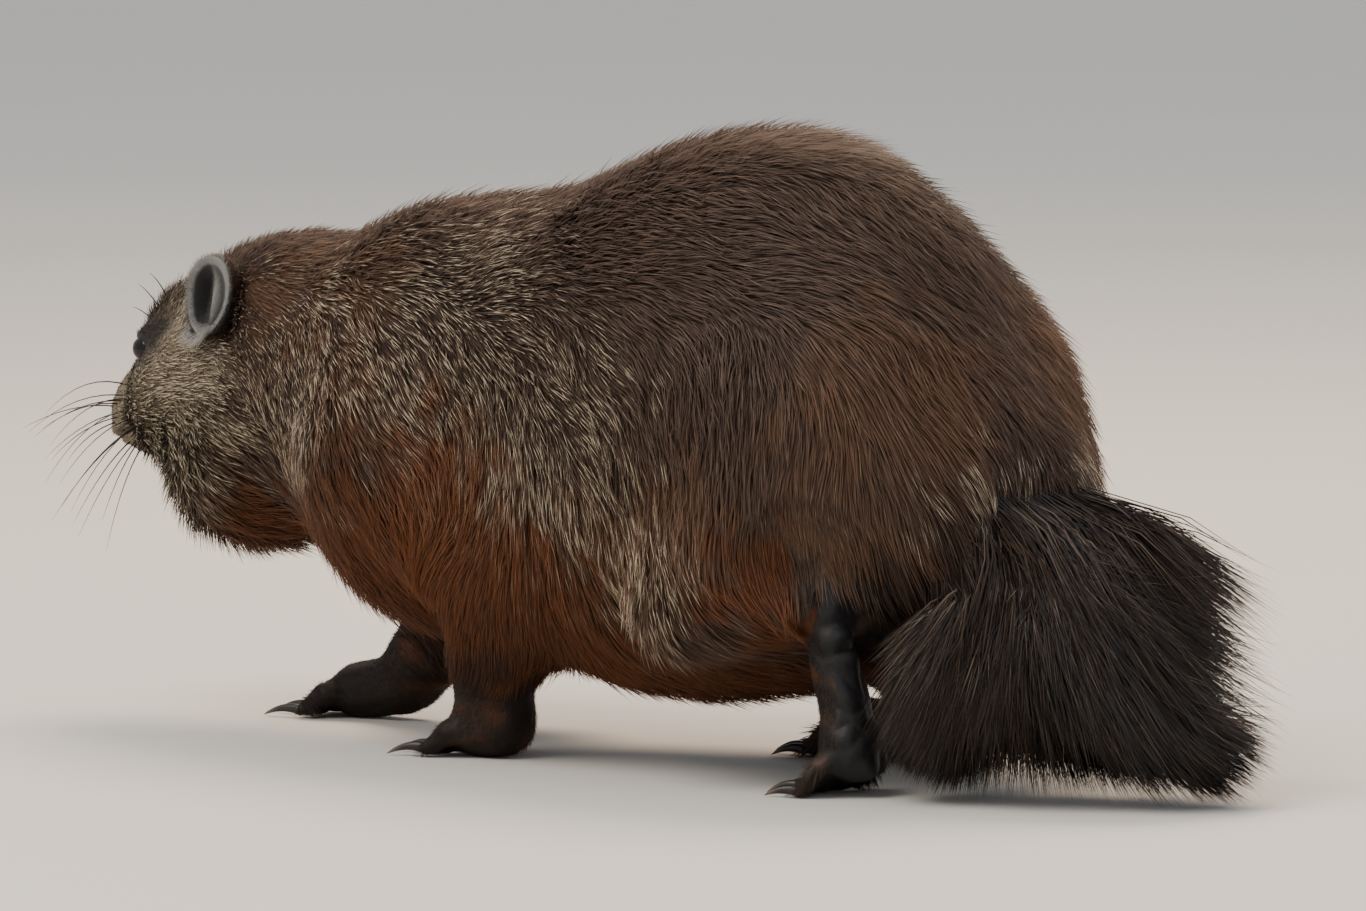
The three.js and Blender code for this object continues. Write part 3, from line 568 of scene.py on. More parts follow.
@dataclass(frozen=True)
class CoatFinish:
    """The coat's colours: hairs dark at the root, banded, and dark or pale at the tip."""

    under: str = "#292019"
    brown: str = "#43332a"
    band: str = "#59463a"
    frost: str = "#c4b69c"
    russet: str = "#62371a"
    russet_deep: str = "#321c0f"
    tan: str = "#7e583c"
    dark: str = "#15110f"
    pale: str = "#cabda2"
    skin: str = "#18191c"

    def _hair(self, g: Graph, along: Sock, chance: Sock) -> Sock:
        """The colour of the hair.

        Args:
            g: The material that it is for.
            along: How far along the hair, from 0 at the root to 1 at the tip.
            chance: A number of its own for each hair, from 0 to 1.

        Returns:
            The colour.
        """
        russet, grizzle, dark, tan, pale = (g.attribute(mark.value) for mark in Mark)
        broad = g.noise(26.0, 3.0).ramp(0.3, 0.7)
        tip = along.ramp(0.5, 0.95)
        banded = along.ramp(0.4, 0.66) * (1 - along.ramp(0.82, 1.0))
        fleck = along.ramp(0.56, 0.74) * (1 - along.ramp(0.94, 1.0))
        frosted = (chance + grizzle * 0.34).ramp(0.86, 1.0)
        hair = g.mix(along.ramp(0.05, 0.55), self.under, self.brown)
        hair = g.mix(banded * (0.3 + 0.25 * chance), hair, self.band)
        hair = g.mix((1 - chance).ramp(0.6, 0.85) * grizzle * 0.55, hair, self.under)
        warm = g.mix(along.ramp(0.0, 0.8), self.russet_deep, self.russet)
        hair = g.mix(tan * (0.25 + 0.35 * tip) * (0.6 + 0.4 * broad), hair, self.tan)
        hair = g.mix(russet * (0.82 + 0.18 * chance), hair, warm)
        hair = g.mix(fleck * frosted * (0.16 + 0.64 * grizzle) * (1 - 0.75 * russet), hair, self.frost)
        hair = g.mix(pale * (0.35 + 0.65 * fleck) * (0.3 + 0.7 * chance.ramp(0.2, 0.75)), hair, self.pale)
        hair = g.mix(dark * (0.95 - 0.32 * tip * chance), hair, self.dark)
        shade = 0.86 + 0.14 * chance + 0.12 * broad
        grey = g.node("ShaderNodeCombineColor", None, {"Red": shade, "Green": shade, "Blue": shade})
        return g.mix(1.0, hair, grey, "MULTIPLY")

    def build(self, name: str) -> Material:
        """Makes the material of the tufts."""
        g = Graph(name)
        hair = self._hair(g, g.attribute("along"), g.attribute("chance"))
        return g.finish(Base_Color=hair, Roughness=0.62, Specular_IOR_Level=0.25)

    def build_hide(self, name: str) -> Material:
        """Makes the material of the hide under the tufts, which has no hairs of its own."""
        g = Graph(name)
        along = 0.35 + 0.3 * g.noise(900.0, 1.0)
        hair = self._hair(g, along, g.noise(1300.0, 1.0).ramp(0.25, 0.75))
        bare = g.attribute("bare")
        folds = g.noise(420.0, 4.0, 0.6)
        # Bare skin with painted shade: darker in the valleys of its folds, lighter on their ridges.
        hair = g.mix(bare, hair, g.mix(folds.ramp(0.3, 0.7), self.dark, self.skin))
        rough = 0.66 - 0.12 * bare
        relief = g.bump(folds * bare + along * (1 - bare), 0.3, 0.0006)
        return g.finish(Base_Color=hair, Roughness=rough, Specular_IOR_Level=0.3, Normal=relief)


@dataclass(frozen=True)
class TailFinish:
    """The tail's long hairs, nearly black with some brown."""

    dark: str = "#130f0e"
    brown: str = "#352922"
    light: str = "#6e5d50"

    def build(self, name: str) -> Material:
        """Makes the material."""
        g = Graph(name)
        along, chance, ashen = (g.attribute(key) for key in ("along", "chance", "ashen"))
        hair = g.mix((chance + 0.3 * ashen).ramp(0.3, 0.85) * along.ramp(0.0, 0.3), self.dark, self.brown)
        streak = (chance + 0.22 * ashen).ramp(0.84, 0.98) * along.ramp(0.1, 0.4) * (1 - along.ramp(0.7, 1.0))
        hair = g.mix(streak * 0.7, hair, self.light)
        return g.finish(Base_Color=hair, Roughness=0.55, Specular_IOR_Level=0.35)


@dataclass(frozen=True)
class BareFinish:
    """Bare pebbled skin of the nose pad and the lids' rims, with painted shade in its cracks and nostrils."""

    colour: str = "#131010"
    light: str = "#2a2321"
    grain: float = 1500.0
    roughness: float = 0.42
    # The colour of the painted shade in the nostrils and the groove between them.
    pit_shade: str = "#040303"

    def build(self, name: str) -> Material:
        """Makes the material."""
        g = Graph(name)
        cells = {"Scale": self.grain, "Vector": g.place()}
        pebbles = g.node("ShaderNodeTexVoronoi", {"feature": "DISTANCE_TO_EDGE"}, cells).ramp(0.0, 0.35)
        tone = g.mix(g.noise(220.0, 3.0).ramp(0.3, 0.8), self.colour, self.light)
        # Painted shade: the cracks between the pebbles are drawn back to the darker base colour.
        tone = g.mix(0.5 * (1 - pebbles), tone, self.colour)
        # Painted shade: the nostrils and the groove between them are darkened towards the pit colour.
        tone = g.mix(g.attribute("deep") * 0.85, tone, self.pit_shade)
        rough = self.roughness + 0.2 * g.noise(600.0, 2.0)
        relief = g.bump(pebbles, 0.35, 0.0004)
        return g.finish(Base_Color=tone, Roughness=rough, Specular_IOR_Level=0.35, Normal=relief)


@dataclass(frozen=True)
class EarFinish:
    """The ear: grey skin under very short hair, with painted shade darkening its hollow."""

    rim: str = "#858789"
    # The colour of the painted shade in the ear's hollow and low on its wall.
    hollow: str = "#121216"
    fold: str = "#6b6a66"
    specks: str = "#5b544c"

    def build(self, name: str) -> Material:
        """Makes the material."""
        g = Graph(name)
        deep = g.attribute("deep")
        speck = g.noise(1600.0, 2.0).ramp(0.3, 0.75)
        tone = g.mix(g.noise(260.0, 3.0), self.rim, self.fold)
        # Painted shade: darker the deeper the place lies in the hollow, and low on the wall by the head.
        tone = g.mix(deep.ramp(0.15, 0.85), tone, self.hollow)
        tone = g.mix(0.35 * speck * (1 - deep), tone, self.specks)
        return g.finish(Base_Color=tone, Roughness=0.7, Normal=g.bump(speck, 0.3, 0.0003))


@dataclass(frozen=True)
class DownFinish:
    """The fine grey hair of the ears, darkened by painted shade in their hollow."""

    root: str = "#62615f"
    tip: str = "#adaba5"
    # The colour of the painted shade on the down in the hollow.
    hollow: str = "#17161a"

    def build(self, name: str) -> Material:
        """Makes the material."""
        g = Graph(name)
        light = g.attribute("along").ramp(0.0, 0.9) * (0.5 + 0.5 * g.attribute("chance"))
        # Painted shade in the hollow.
        tone = g.mix(g.attribute("deep") * 0.9, g.mix(light, self.root, self.tip), self.hollow)
        return g.finish(Base_Color=tone, Roughness=0.7, Specular_IOR_Level=0.25)


@dataclass(frozen=True)
class EyeFinish:
    """A dark brown eye under a clear, wet surface; its edges are angles off the eye's look."""

    iris: str = "#2a160c"
    rim: str = "#0d0806"
    pupil: str = "#020202"
    iris_edge: float = 0.62
    pupil_edge: float = 0.30

    def build(self, name: str) -> Material:
        """Makes the material."""
        g = Graph(name)
        off = g.attribute("off_axis")
        iris = g.mix(g.noise(1400.0, 4.0, 0.7).ramp(0.35, 0.7), self.rim, self.iris)
        ball = g.mix(off.ramp(self.iris_edge - 0.08, self.iris_edge), iris, self.rim)
        ball = g.mix(off.ramp(self.pupil_edge - 0.03, self.pupil_edge + 0.03), self.pupil, ball)
        wet = {"Coat_Weight": 1.0, "Coat_Roughness": 0.02, "Coat_IOR": 1.38}
        return g.finish(Base_Color=ball, Roughness=0.2, Specular_IOR_Level=0.0, **wet)


@dataclass(frozen=True)
class HornFinish:
    """Claws: dark horn with fine lines, worn paler at the tip."""

    dark: str = "#211b18"
    worn: str = "#6d5f50"

    def build(self, name: str) -> Material:
        """Makes the material."""
        g = Graph(name)
        lines = g.noise(900.0, 3.0, 0.6)
        tone = g.mix(g.attribute("along").ramp(0.55, 1.0) * (0.55 + 0.45 * lines), self.dark, self.worn)
        return g.finish(Base_Color=tone, Roughness=0.3 + 0.25 * lines, Normal=g.bump(lines, 0.25, 0.0003))


@dataclass(frozen=True)
class WhiskerFinish:
    """Stiff black whiskers, a little paler at the tip."""

    colour: str = "#15110f"
    tip: str = "#3a322c"

    def build(self, name: str) -> Material:
        """Makes the material."""
        g = Graph(name)
        tone = g.mix(g.attribute("along").ramp(0.6, 1.0), self.colour, self.tip)
        return g.finish(Base_Color=tone, Roughness=0.35)


@dataclass(frozen=True)
class FloorFinish:
    """A plain pale studio floor."""

    colour: str = "#cfccc6"
    clouds: str = "#bdb9b2"

    def build(self, name: str) -> Material:
        """Makes the material."""
        g = Graph(name)
        return g.finish(Base_Color=g.mix(0.25 * g.noise(3.0, 4.0), self.colour, self.clouds), Roughness=0.75)


def link(made: Object) -> Object:
    """Puts an object into the scene, and hands it back."""
    bpy.context.scene.collection.objects.link(made)
    return made


def mesh_of(points: Array, faces: Faces) -> Mesh:
    """A mesh from points, in metres, and faces."""
    mesh = bpy.data.meshes.new("piece")
    mesh.from_pydata([tuple(p) for p in points], [], faces)
    mesh.update()
    return mesh


def places(mesh: Mesh) -> Array:
    """The vertices' places, in the frame's metres."""
    found = np.empty(len(mesh.vertices) * 3)
    mesh.vertices.foreach_get("co", found)
    return found.reshape(-1, 3)


def spots(mesh: Mesh) -> Array:
    """The vertices' places, in the animal's millimetres."""
    return STANCE.millimetres(places(mesh))


def outward(mesh: Mesh) -> Array:
    """The vertices' normals."""
    found = np.empty(len(mesh.vertices) * 3, np.float32)
    mesh.vertex_normals.foreach_get("vector", found)
    return found.reshape(-1, 3).astype(float)


def move_to(mesh: Mesh, points: Array) -> None:
    """Moves the vertices to places in millimetres."""
    mesh.vertices.foreach_set("co", np.asarray(STANCE.metres(points), np.float32).ravel())
    mesh.update()


def keep_number(mesh: Mesh, name: str, values: Array) -> None:
    """Keeps one number for each vertex on the mesh."""
    mesh.attributes.new(name, "FLOAT", "POINT").data.foreach_set("value", np.asarray(values, np.float32))


def outside_out(mesh: Mesh) -> Mesh:
    """Turns all faces of a closed mesh outwards."""
    shaped = bmesh.new()
    shaped.from_mesh(mesh)
    bmesh.ops.recalc_face_normals(shaped, faces=shaped.faces)
    shaped.to_mesh(mesh)
    shaped.free()
    return mesh


def tree_of(mesh: Mesh) -> BVHTree:
    """The mesh's surface, ready to be met by lines."""
    return BVHTree.FromPolygons([tuple(p) for p in places(mesh)], [tuple(p.vertices) for p in mesh.polygons])


def way_out(tree: BVHTree, local: Point, way: Array) -> Optional[Array]:
    """Where a line from a place in the head's frame leaves the surface, in millimetres, if it does."""
    hit = tree.ray_cast(Vector(STANCE.metres(STANCE.on_head(local))), Vector(way))[0]
    return None if hit is None else STANCE.millimetres(np.array(hit))


@dataclass(frozen=True)
class Piece:
    """An object to be made: what it is called, and what it is shown as.

    Attributes:
        name: Its name.
        finish: Its material.
        slot: The record's name for that material; kept and passed on, but not used.
        stands_for: The solids that it is shown instead of.
    """

    name: str
    finish: Material
    slot: str
    stands_for: Sequence[str] = ()

    def add(self, mesh: Mesh) -> Object:
        """Puts a mesh, in the frame's metres, into the scene as an object that rides on the body."""
        mesh.name = self.name
        mesh.materials.clear()
        mesh.materials.append(self.finish)
        mesh.polygons.foreach_set("use_smooth", np.full(len(mesh.polygons), True))
        made = link(bpy.data.objects.new(self.name, mesh))
        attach(made, BODY)
        if self.stands_for:
            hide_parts(*self.stands_for)
        LOG.info("%s: %d vertices, %d faces", self.name, len(mesh.vertices), len(mesh.polygons))
        return made

    def form(self, points: Array, faces: Faces, **numbers: Array) -> Object:
        """Makes the object from a closed form.

        Args:
            points: Its points, in millimetres.
            faces: Its faces.
            **numbers: Numbers kept for each point, by name.

        Returns:
            The object.
        """
        mesh = outside_out(mesh_of(STANCE.metres(points), faces))
        for key, values in numbers.items():
            keep_number(mesh, key, values)
        return self.add(mesh)

    def part(self, number: int) -> Piece:
        """The same as one of several objects, of which the first stands for the solids."""
        solids = self.stands_for if number == 1 else ()
        return Piece(f"{self.name}_{number}", self.finish, self.slot, solids)


def ring_faces(rings: int, sides: int, looped: bool = False) -> list[tuple[int, ...]]:
    """Faces of a tube whose points come ring by ring, either with both ends closed or looped into itself."""
    faces: list[tuple[int, ...]] = []
    for r in range(rings if looped else rings - 1):
        here, there = r * sides, (r + 1) % rings * sides
        for s in range(sides):
            after = (s + 1) % sides
            faces.append((here + s, here + after, there + after, there + s))
    if not looped:
        faces += [tuple(range(sides - 1, -1, -1)), tuple((rings - 1) * sides + s for s in range(sides))]
    return faces


def tube(line: Array, radii: Array, aside: Point, sides: int) -> Array:
    """The points of a tube round a line.

    Args:
        line: Points along its middle.
        radii: Its radius at each of them.
        aside: A way that the line never takes, which its rings are laid out by.
        sides: How many points a ring has.

    Returns:
        The points, ring by ring.
    """
    ahead = unit(np.gradient(line, axis=0))
    side = unit(np.cross(ahead, np.array(aside)))
    up = np.cross(side, ahead)
    turn = round_about(sides)
    wide, high = np.cos(turn)[None, :, None] * side[:, None], np.sin(turn)[None, :, None] * up[:, None]
    return (line[:, None] + radii[:, None, None] * (wide + high)).reshape(-1, 3)


def unwrap(made: Object) -> None:
    """Lays an object's own surface out flat, as the map that the tufts on it take their patches from."""
    bpy.ops.object.select_all(action="DESELECT")
    made.select_set(True)
    bpy.context.view_layer.objects.active = made
    made.data.uv_layers.new(name=BAKE_MAP)
    bpy.ops.object.mode_set(mode="EDIT")
    bpy.ops.mesh.select_all(action="SELECT")
    bpy.ops.uv.smart_project(angle_limit=1.15, island_margin=0.004, scale_to_bounds=True)
    bpy.ops.object.mode_set(mode="OBJECT")


def smoothed(mesh: Mesh, points: Array, share: Array, rounds: int) -> Array:
    """Points drawn towards their neighbours' middle, again and again.

    Args:
        mesh: The mesh whose edges say who is a neighbour.
        points: Where its vertices are.
        share: How far each goes in a round, from 0 to 1.
        rounds: How often.

    Returns:
        The new places.
    """
    edges = np.empty(len(mesh.edges) * 2, np.int32)
    mesh.edges.foreach_get("vertices", edges)
    a, b = edges.reshape(-1, 2).T
    count = np.bincount(np.concatenate([a, b]), minlength=len(points))[:, None]
    points = points.copy()
    for _ in range(rounds):
        both = [(np.bincount(a, p[b], len(p)), np.bincount(b, p[a], len(p))) for p in points.T]
        total = np.stack([one + other for one, other in both], axis=1)
        points += (total / np.maximum(count, 1) - points) * share[:, None]
    return points


@dataclass(frozen=True)
class TailCore:
    """The flesh of a part of the tail: a tapering line that its long hair grows from.

    Attributes:
        line: Points along it, in millimetres.
        radii: Its radius at each of them.
        slim: The share of its radius that it is drawn with, so that it stays under the hair.
        steps: How many rings it is drawn with.
        sides: How many points each has.
    """

    line: tuple[Point, ...]
    radii: tuple[float, ...]
    slim: float = 0.8
    steps: int = 14
    sides: int = 16

    def nearest(self, points: Array) -> tuple[Array, Array]:
        """How far points are outside it, and how far along it their nearest place is, from 0 to 1."""
        outside = np.full(len(points), np.inf)
        place = np.zeros(len(points))
        last = len(self.line) - 1
        for k in range(last):
            far, t = from_segment(points, self.line[k], self.line[k + 1])
            far = far - (self.radii[k] * (1 - t) + self.radii[k + 1] * t)
            closer = far < outside
            outside = np.where(closer, far, outside)
            place = np.where(closer, (k + t) / last, place)
        return outside, place

    def ahead(self, t: Array) -> Array:
        """The way along it at t."""
        return unit(on_curve(self.line, t + 0.02) - on_curve(self.line, t - 0.02))

    def add_to(self, rough: bmesh.types.BMesh) -> None:
        """Adds it as a closed tube."""
        t = np.linspace(0, 1, self.steps)
        radii = np.interp(t, np.linspace(0, 1, len(self.radii)), self.radii) * self.slim
        points = tube(on_curve(self.line, t), radii, (0.75, 0.0, 0.66), self.sides)
        mesh = outside_out(mesh_of(STANCE.metres(points), ring_faces(self.steps, self.sides)))
        rough.from_mesh(mesh)
        bpy.data.meshes.remove(mesh)


TAIL_CORES = (
    TailCore(
        ((109, 5, 136), (138, -8, 86), (156, -15, 63), (178, -16, 45), (203, -12, 28)),
        (15.0, 13.5, 11.0, 7.5, 3.5),
    ),
    TailCore(((122, -4, 104), (129, -25, 78), (129, -40, 54), (127, -47, 32)), (11.0, 10.0, 7.0, 4.0)),
)


def from_tail(points: Array) -> Array:
    """How far points are outside the tail's cores, in millimetres."""
    return np.min([core.nearest(points)[0] for core in TAIL_CORES], axis=0)


@dataclass
class Eye:
    """An eye, its lids, and the opening that they leave.

    Attributes:
        name: left or right.
        side: -1 for left and 1 for right.
        radius: The ball's radius, in millimetres.
        look: The way it looks, in the head's frame, for the right eye.
        half_wide: Half the opening's width, in degrees.
        half_high: Half its height.
        lid: How thick the lids are, in millimetres.
        rim: The lids' section: angles beyond the opening's edge, and heights over the ball.
    """

    name: str
    side: int
    radius: float = 6.2
    look: Point = (-0.40, 0.89, 0.22)
    half_wide: float = 66.0
    half_high: float = 47.0
    lid: float = 1.1
    rim: tuple[tuple[float, float], ...] = (
        (0.02, -0.5), (0.0, 0.12), (0.03, 0.55), (0.09, 0.946), (0.17, 0.902), (0.27, 0.495),
        (0.36, -0.1), (0.34, -0.8), (0.2, -0.9),
    )  # fmt: skip

    def middle(self) -> Array:
        """The ball's middle, in the animal's millimetres."""
        return STANCE.millimetres(STANCE.middle_of(f"eye_{self.name}"))

    def axes(self) -> Array:
        """Columns: the way to the outer corner, the way up, and the way it looks."""
        look = unit(STANCE.headward((self.look[0], self.look[1] * self.side, self.look[2])))
        up = STANCE.headward((0.0, 0.0, 1.0)) + 0.25 * STANCE.headward((1.0, 0.0, 0.0))
        up = unit(up - look * (up @ look))
        return np.stack([np.cross(up, look), up, look], axis=1)

    def polar(self, points: Array) -> tuple[Array, Array, Array]:
        """Distance from the ball's middle, angle off its look and angle round it, for each point."""
        q = (points - self.middle()) @ self.axes()
        far = np.linalg.norm(q, axis=1)
        return far, np.arccos(np.clip(q[:, 2] / np.maximum(far, 1e-9), -1, 1)), np.arctan2(q[:, 1], q[:, 0])

    def edge(self, turn: Array) -> Array:
        """The opening's edge, as an angle off the look, for each angle round it; lower under the brow."""
        wide, high = math.radians(self.half_wide), math.radians(self.half_high)
        brow = np.where(np.sin(turn) > 0, 0.9, 1.0)
        return 1 / np.sqrt((np.cos(turn) / wide) ** 2 + (np.sin(turn) / (high * brow)) ** 2)

    def hollow(self, points: Array) -> Array:
        """The hide's points drawn clear of the ball inside the opening and round over its lids outside it."""
        far, off, turn = self.polar(points)
        edge = self.edge(turn)
        near = far < self.radius + 6
        inside = ease((edge + 0.10 - off) / 0.2) * near
        over = ease((edge + 0.9 - off) / 0.7) * (1 - inside) * near
        lowest = self.radius + 0.5 * self.lid
        reach = far * (1 - inside) + (self.radius - 2.2) * inside
        reach = np.maximum(reach, lowest * over + reach * (1 - over))
        return self.middle() + (points - self.middle()) * (reach / np.maximum(far, 1e-9))[:, None]

    def build(self, finish: Material, lash: Material) -> None:
        """Makes the ball, with its cornea standing out a little, and a ring of lids that hugs it.

        Args:
            finish: The ball's material.
            lash: The lids' material.
        """
        rings, sides = 40, 56
        off, turn = ball_grid(rings, sides, 0.01)
        bulge = 1 + 0.07 * ease((0.75 - off) / 0.5)
        points = self.middle() + (on_ball(off, turn) * (self.radius - 0.15) * bulge[:, None]) @ self.axes().T
        ball = Piece(f"eyeball_{self.name}", finish, "eye", [f"eye_{self.name}"])
        ball.form(points, ring_faces(rings, sides), off_axis=off)
        sides = 72
        turn = round_about(sides)
        lids = [(self.edge(turn) + beyond, self.radius + height) for beyond, height in self.rim]
        points = np.vstack([self.middle() + (on_ball(off, turn) * far) @ self.axes().T for off, far in lids])
        Piece(f"lids_{self.name}", lash, "nose").form(points, ring_faces(len(lids), sides, True))


@dataclass
class Face:
    """The mouth and the cleft under the nose, worked into the hide, and the nose pad.

    Attributes:
        nose_radii: The nose pad's half sizes, in millimetres.
        blocky: How square the nose pad is; 2 is a plain ellipsoid.
        mouth_middle: A point inside the mouth, in the head's frame, that its line runs round.
        mouth_reach: Degrees that the line runs round each side.
        snout: Only what lies further forward than this on the head is near the mouth.
        lip: How wide the dark edge of the lips is, in millimetres.
        line: The line between the lips, once it is found on the hide.
    """

    nose_radii: Point = (5.4, 7.8, 5.2)
    blocky: float = 2.7
    mouth_middle: Point = (-62.0, 0.0, -19.0)
    mouth_reach: float = 98.0
    snout: float = -20.0
    lip: float = 1.7
    line: Array = field(default_factory=lambda: np.zeros((0, 3)))

    def from_line(self, points: Array) -> tuple[Array, Array]:
        """How far points are from the line between the lips, and how high above it."""
        near = np.flatnonzero(STANCE.in_head(points)[:, 0] < self.snout)
        far, above = np.full(len(points), 99.0), np.zeros(len(points))
        for a, b in zip(self.line, self.line[1:]):
            d, t = from_segment(points[near], a, b)
            rise = (points[near] - (a + t[:, None] * (b - a))) @ STANCE.headward((0.0, 0.0, 1.0))
            closer = d < far[near]
            far[near[closer]], above[near[closer]] = d[closer], rise[closer]
        return far, above

    def lips(self, points: Array) -> Array:
        """How close points are to the line between the lips, from 0 to 1."""
        return ease((self.lip - self.from_line(points)[0]) / 1.1)

    def sculpt(self, mesh: Mesh) -> None:
        """Finds the line between the lips on the hide, and works the lips and the cleft into it."""
        tree = tree_of(mesh)
        line = []
        for angle in np.radians(np.linspace(-self.mouth_reach, self.mouth_reach, 61)):
            way = STANCE.headward((-math.cos(angle), math.sin(angle), 0.10 * math.cos(angle)))
            line.append(way_out(tree, self.mouth_middle, way))
        self.line = np.array([place for place in line if place is not None])
        points, normals = spots(mesh), outward(mesh)
        x, y, z = STANCE.in_head(points).T
        far, above = self.from_line(points)
        groove = -2.0 * bell(far / 0.9)
        upper = 1.1 * bell((far - 2.8) / 1.9) * (above > 0)
        lower = 0.5 * bell((far - 2.2) / 1.5) * (above <= 0)
        cleft = -1.3 * bell(y / 0.8) * ease((-8 - z) / 3) * ease((-80 - x) / 6) * ease((z + 22) / 3)
        move_to(mesh, points + normals * (groove + upper + lower + cleft)[:, None])

    def nose(self, finish: Material) -> None:
        """Makes the nose pad, with its nostrils and the groove between them."""
        rings, sides = 56, 80
        y, z, back = on_ball(*ball_grid(rings, sides, 0.02)).T
        x, side = -back, np.abs(y)
        front = ease(-x / 0.5)
        hole = bell((side - 0.50) / 0.17, (z + 0.06 + 0.4 * (side - 0.5)) / 0.24)
        slit = bell((z + 0.26 - 0.45 * (side - 0.5)) / 0.10) * ease((side - 0.45) / 0.25)
        groove = bell(y / 0.075) * ease((0.45 - z) / 0.5)
        wing = bell((side - 0.70) / 0.2, (z - 0.12) / 0.35)
        pits = np.clip(0.62 * hole + 0.34 * slit + 0.16 * groove, 0, 0.66)
        block = sum(np.abs(axis) ** self.blocky for axis in (x, y, z)) ** (-1 / self.blocky)
        reach = block * (1 - front * pits + 0.10 * front * wing)
        local = np.stack([x, y, z], axis=1) * reach[:, None] * np.array(self.nose_radii)
        points = STANCE.on_head(np.array(STANCE.nose) + local)
        # How much painted shade darkens the nostrils, the slits and the groove between them.
        deep = ease(front * (hole + 0.7 * slit + 0.4 * groove))
        Piece("nose_pad", finish, "nose", ["nose"]).form(points, ring_faces(rings, sides), deep=deep)


@dataclass(frozen=True)
class Whiskers:
    """The whiskers of both sides, and the few over the eyes, as one piece.

    Attributes:
        rows: How many rows there are on each side, from the top down.
        in_row: How many whiskers the first row has; each second one has one less.
        over_eye: How many stand over each eye.
        droop: How far the tip of one of 40 mm hangs, in millimetres.
        thick: Its radius at the root.
        thin: Its radius at the tip.
        seed: Fixes how they stray.
        steps: How many rings each has.
        sides: How many points a ring has.
    """

    rows: int = 4
    in_row: int = 5
    over_eye: int = 3
    droop: Point = (2.0, 0.0, -13.0)
    thick: float = 0.31
    thin: float = 0.04
    seed: int = 31
    steps: int = 9
    sides: int = 5

    def _stand(self, rng: np.random.Generator) -> list[tuple[Point, Point, float]]:
        """For each whisker a place inside the head and its way, in the head's frame, and its length."""
        found: list[tuple[Point, Point, float]] = []
        for side in SIDES.values():
            for row in range(self.rows):
                for k in range(self.in_row - row // 2):
                    local = (-86 + 3.8 * k + 1.3 * row, 6.0 * side, -7.5 - 2.6 * row)
                    way = (-0.15 + 0.16 * k, side * (1.0 - 0.05 * row), 0.12 - 0.22 * row)
                    found.append((local, way, 32 + 8.5 * k + rng.uniform(-4, 8)))
            for k in range(self.over_eye):
                found.append(((-50 + 4 * k, 10.0 * side, 10), (-0.2 + 0.3 * k, 0.55 * side, 0.8), 17 + 3 * k))
        return found

    def build(self, tree: BVHTree, finish: Material) -> None:
        """Makes the whiskers.

        Args:
            tree: The hide's surface, for their roots.
            finish: Their material.
        """
        rng = np.random.default_rng(self.seed)
        t = np.linspace(0, 1, self.steps)
        radii = (self.thick - self.thin) * (1 - t) ** 0.7 + self.thin
        far = t[:, None]
        tubes: list[Array] = []
        for local, way, length in self._stand(rng):
            way = unit(STANCE.headward(way) + rng.normal(0, 0.07, 3))
            hit = way_out(tree, local, way)
            if hit is None:
                continue
            line = hit - way * 1.5 + way * length * far + np.array(self.droop) * (length / 40) * far**2
            line += 1.2 * rng.normal(0, 1, 3) * far**2
            tubes.append(tube(line, radii, (0.1, 0.2, 1.0), self.sides))
        size = self.steps * self.sides
        one = ring_faces(self.steps, self.sides)
        faces = [tuple(i + base * size for i in face) for base in range(len(tubes)) for face in one]
        along = np.tile(np.repeat(t, self.sides), len(tubes))
        Piece("whiskers", finish, "nose").form(np.vstack(tubes), faces, along=along)


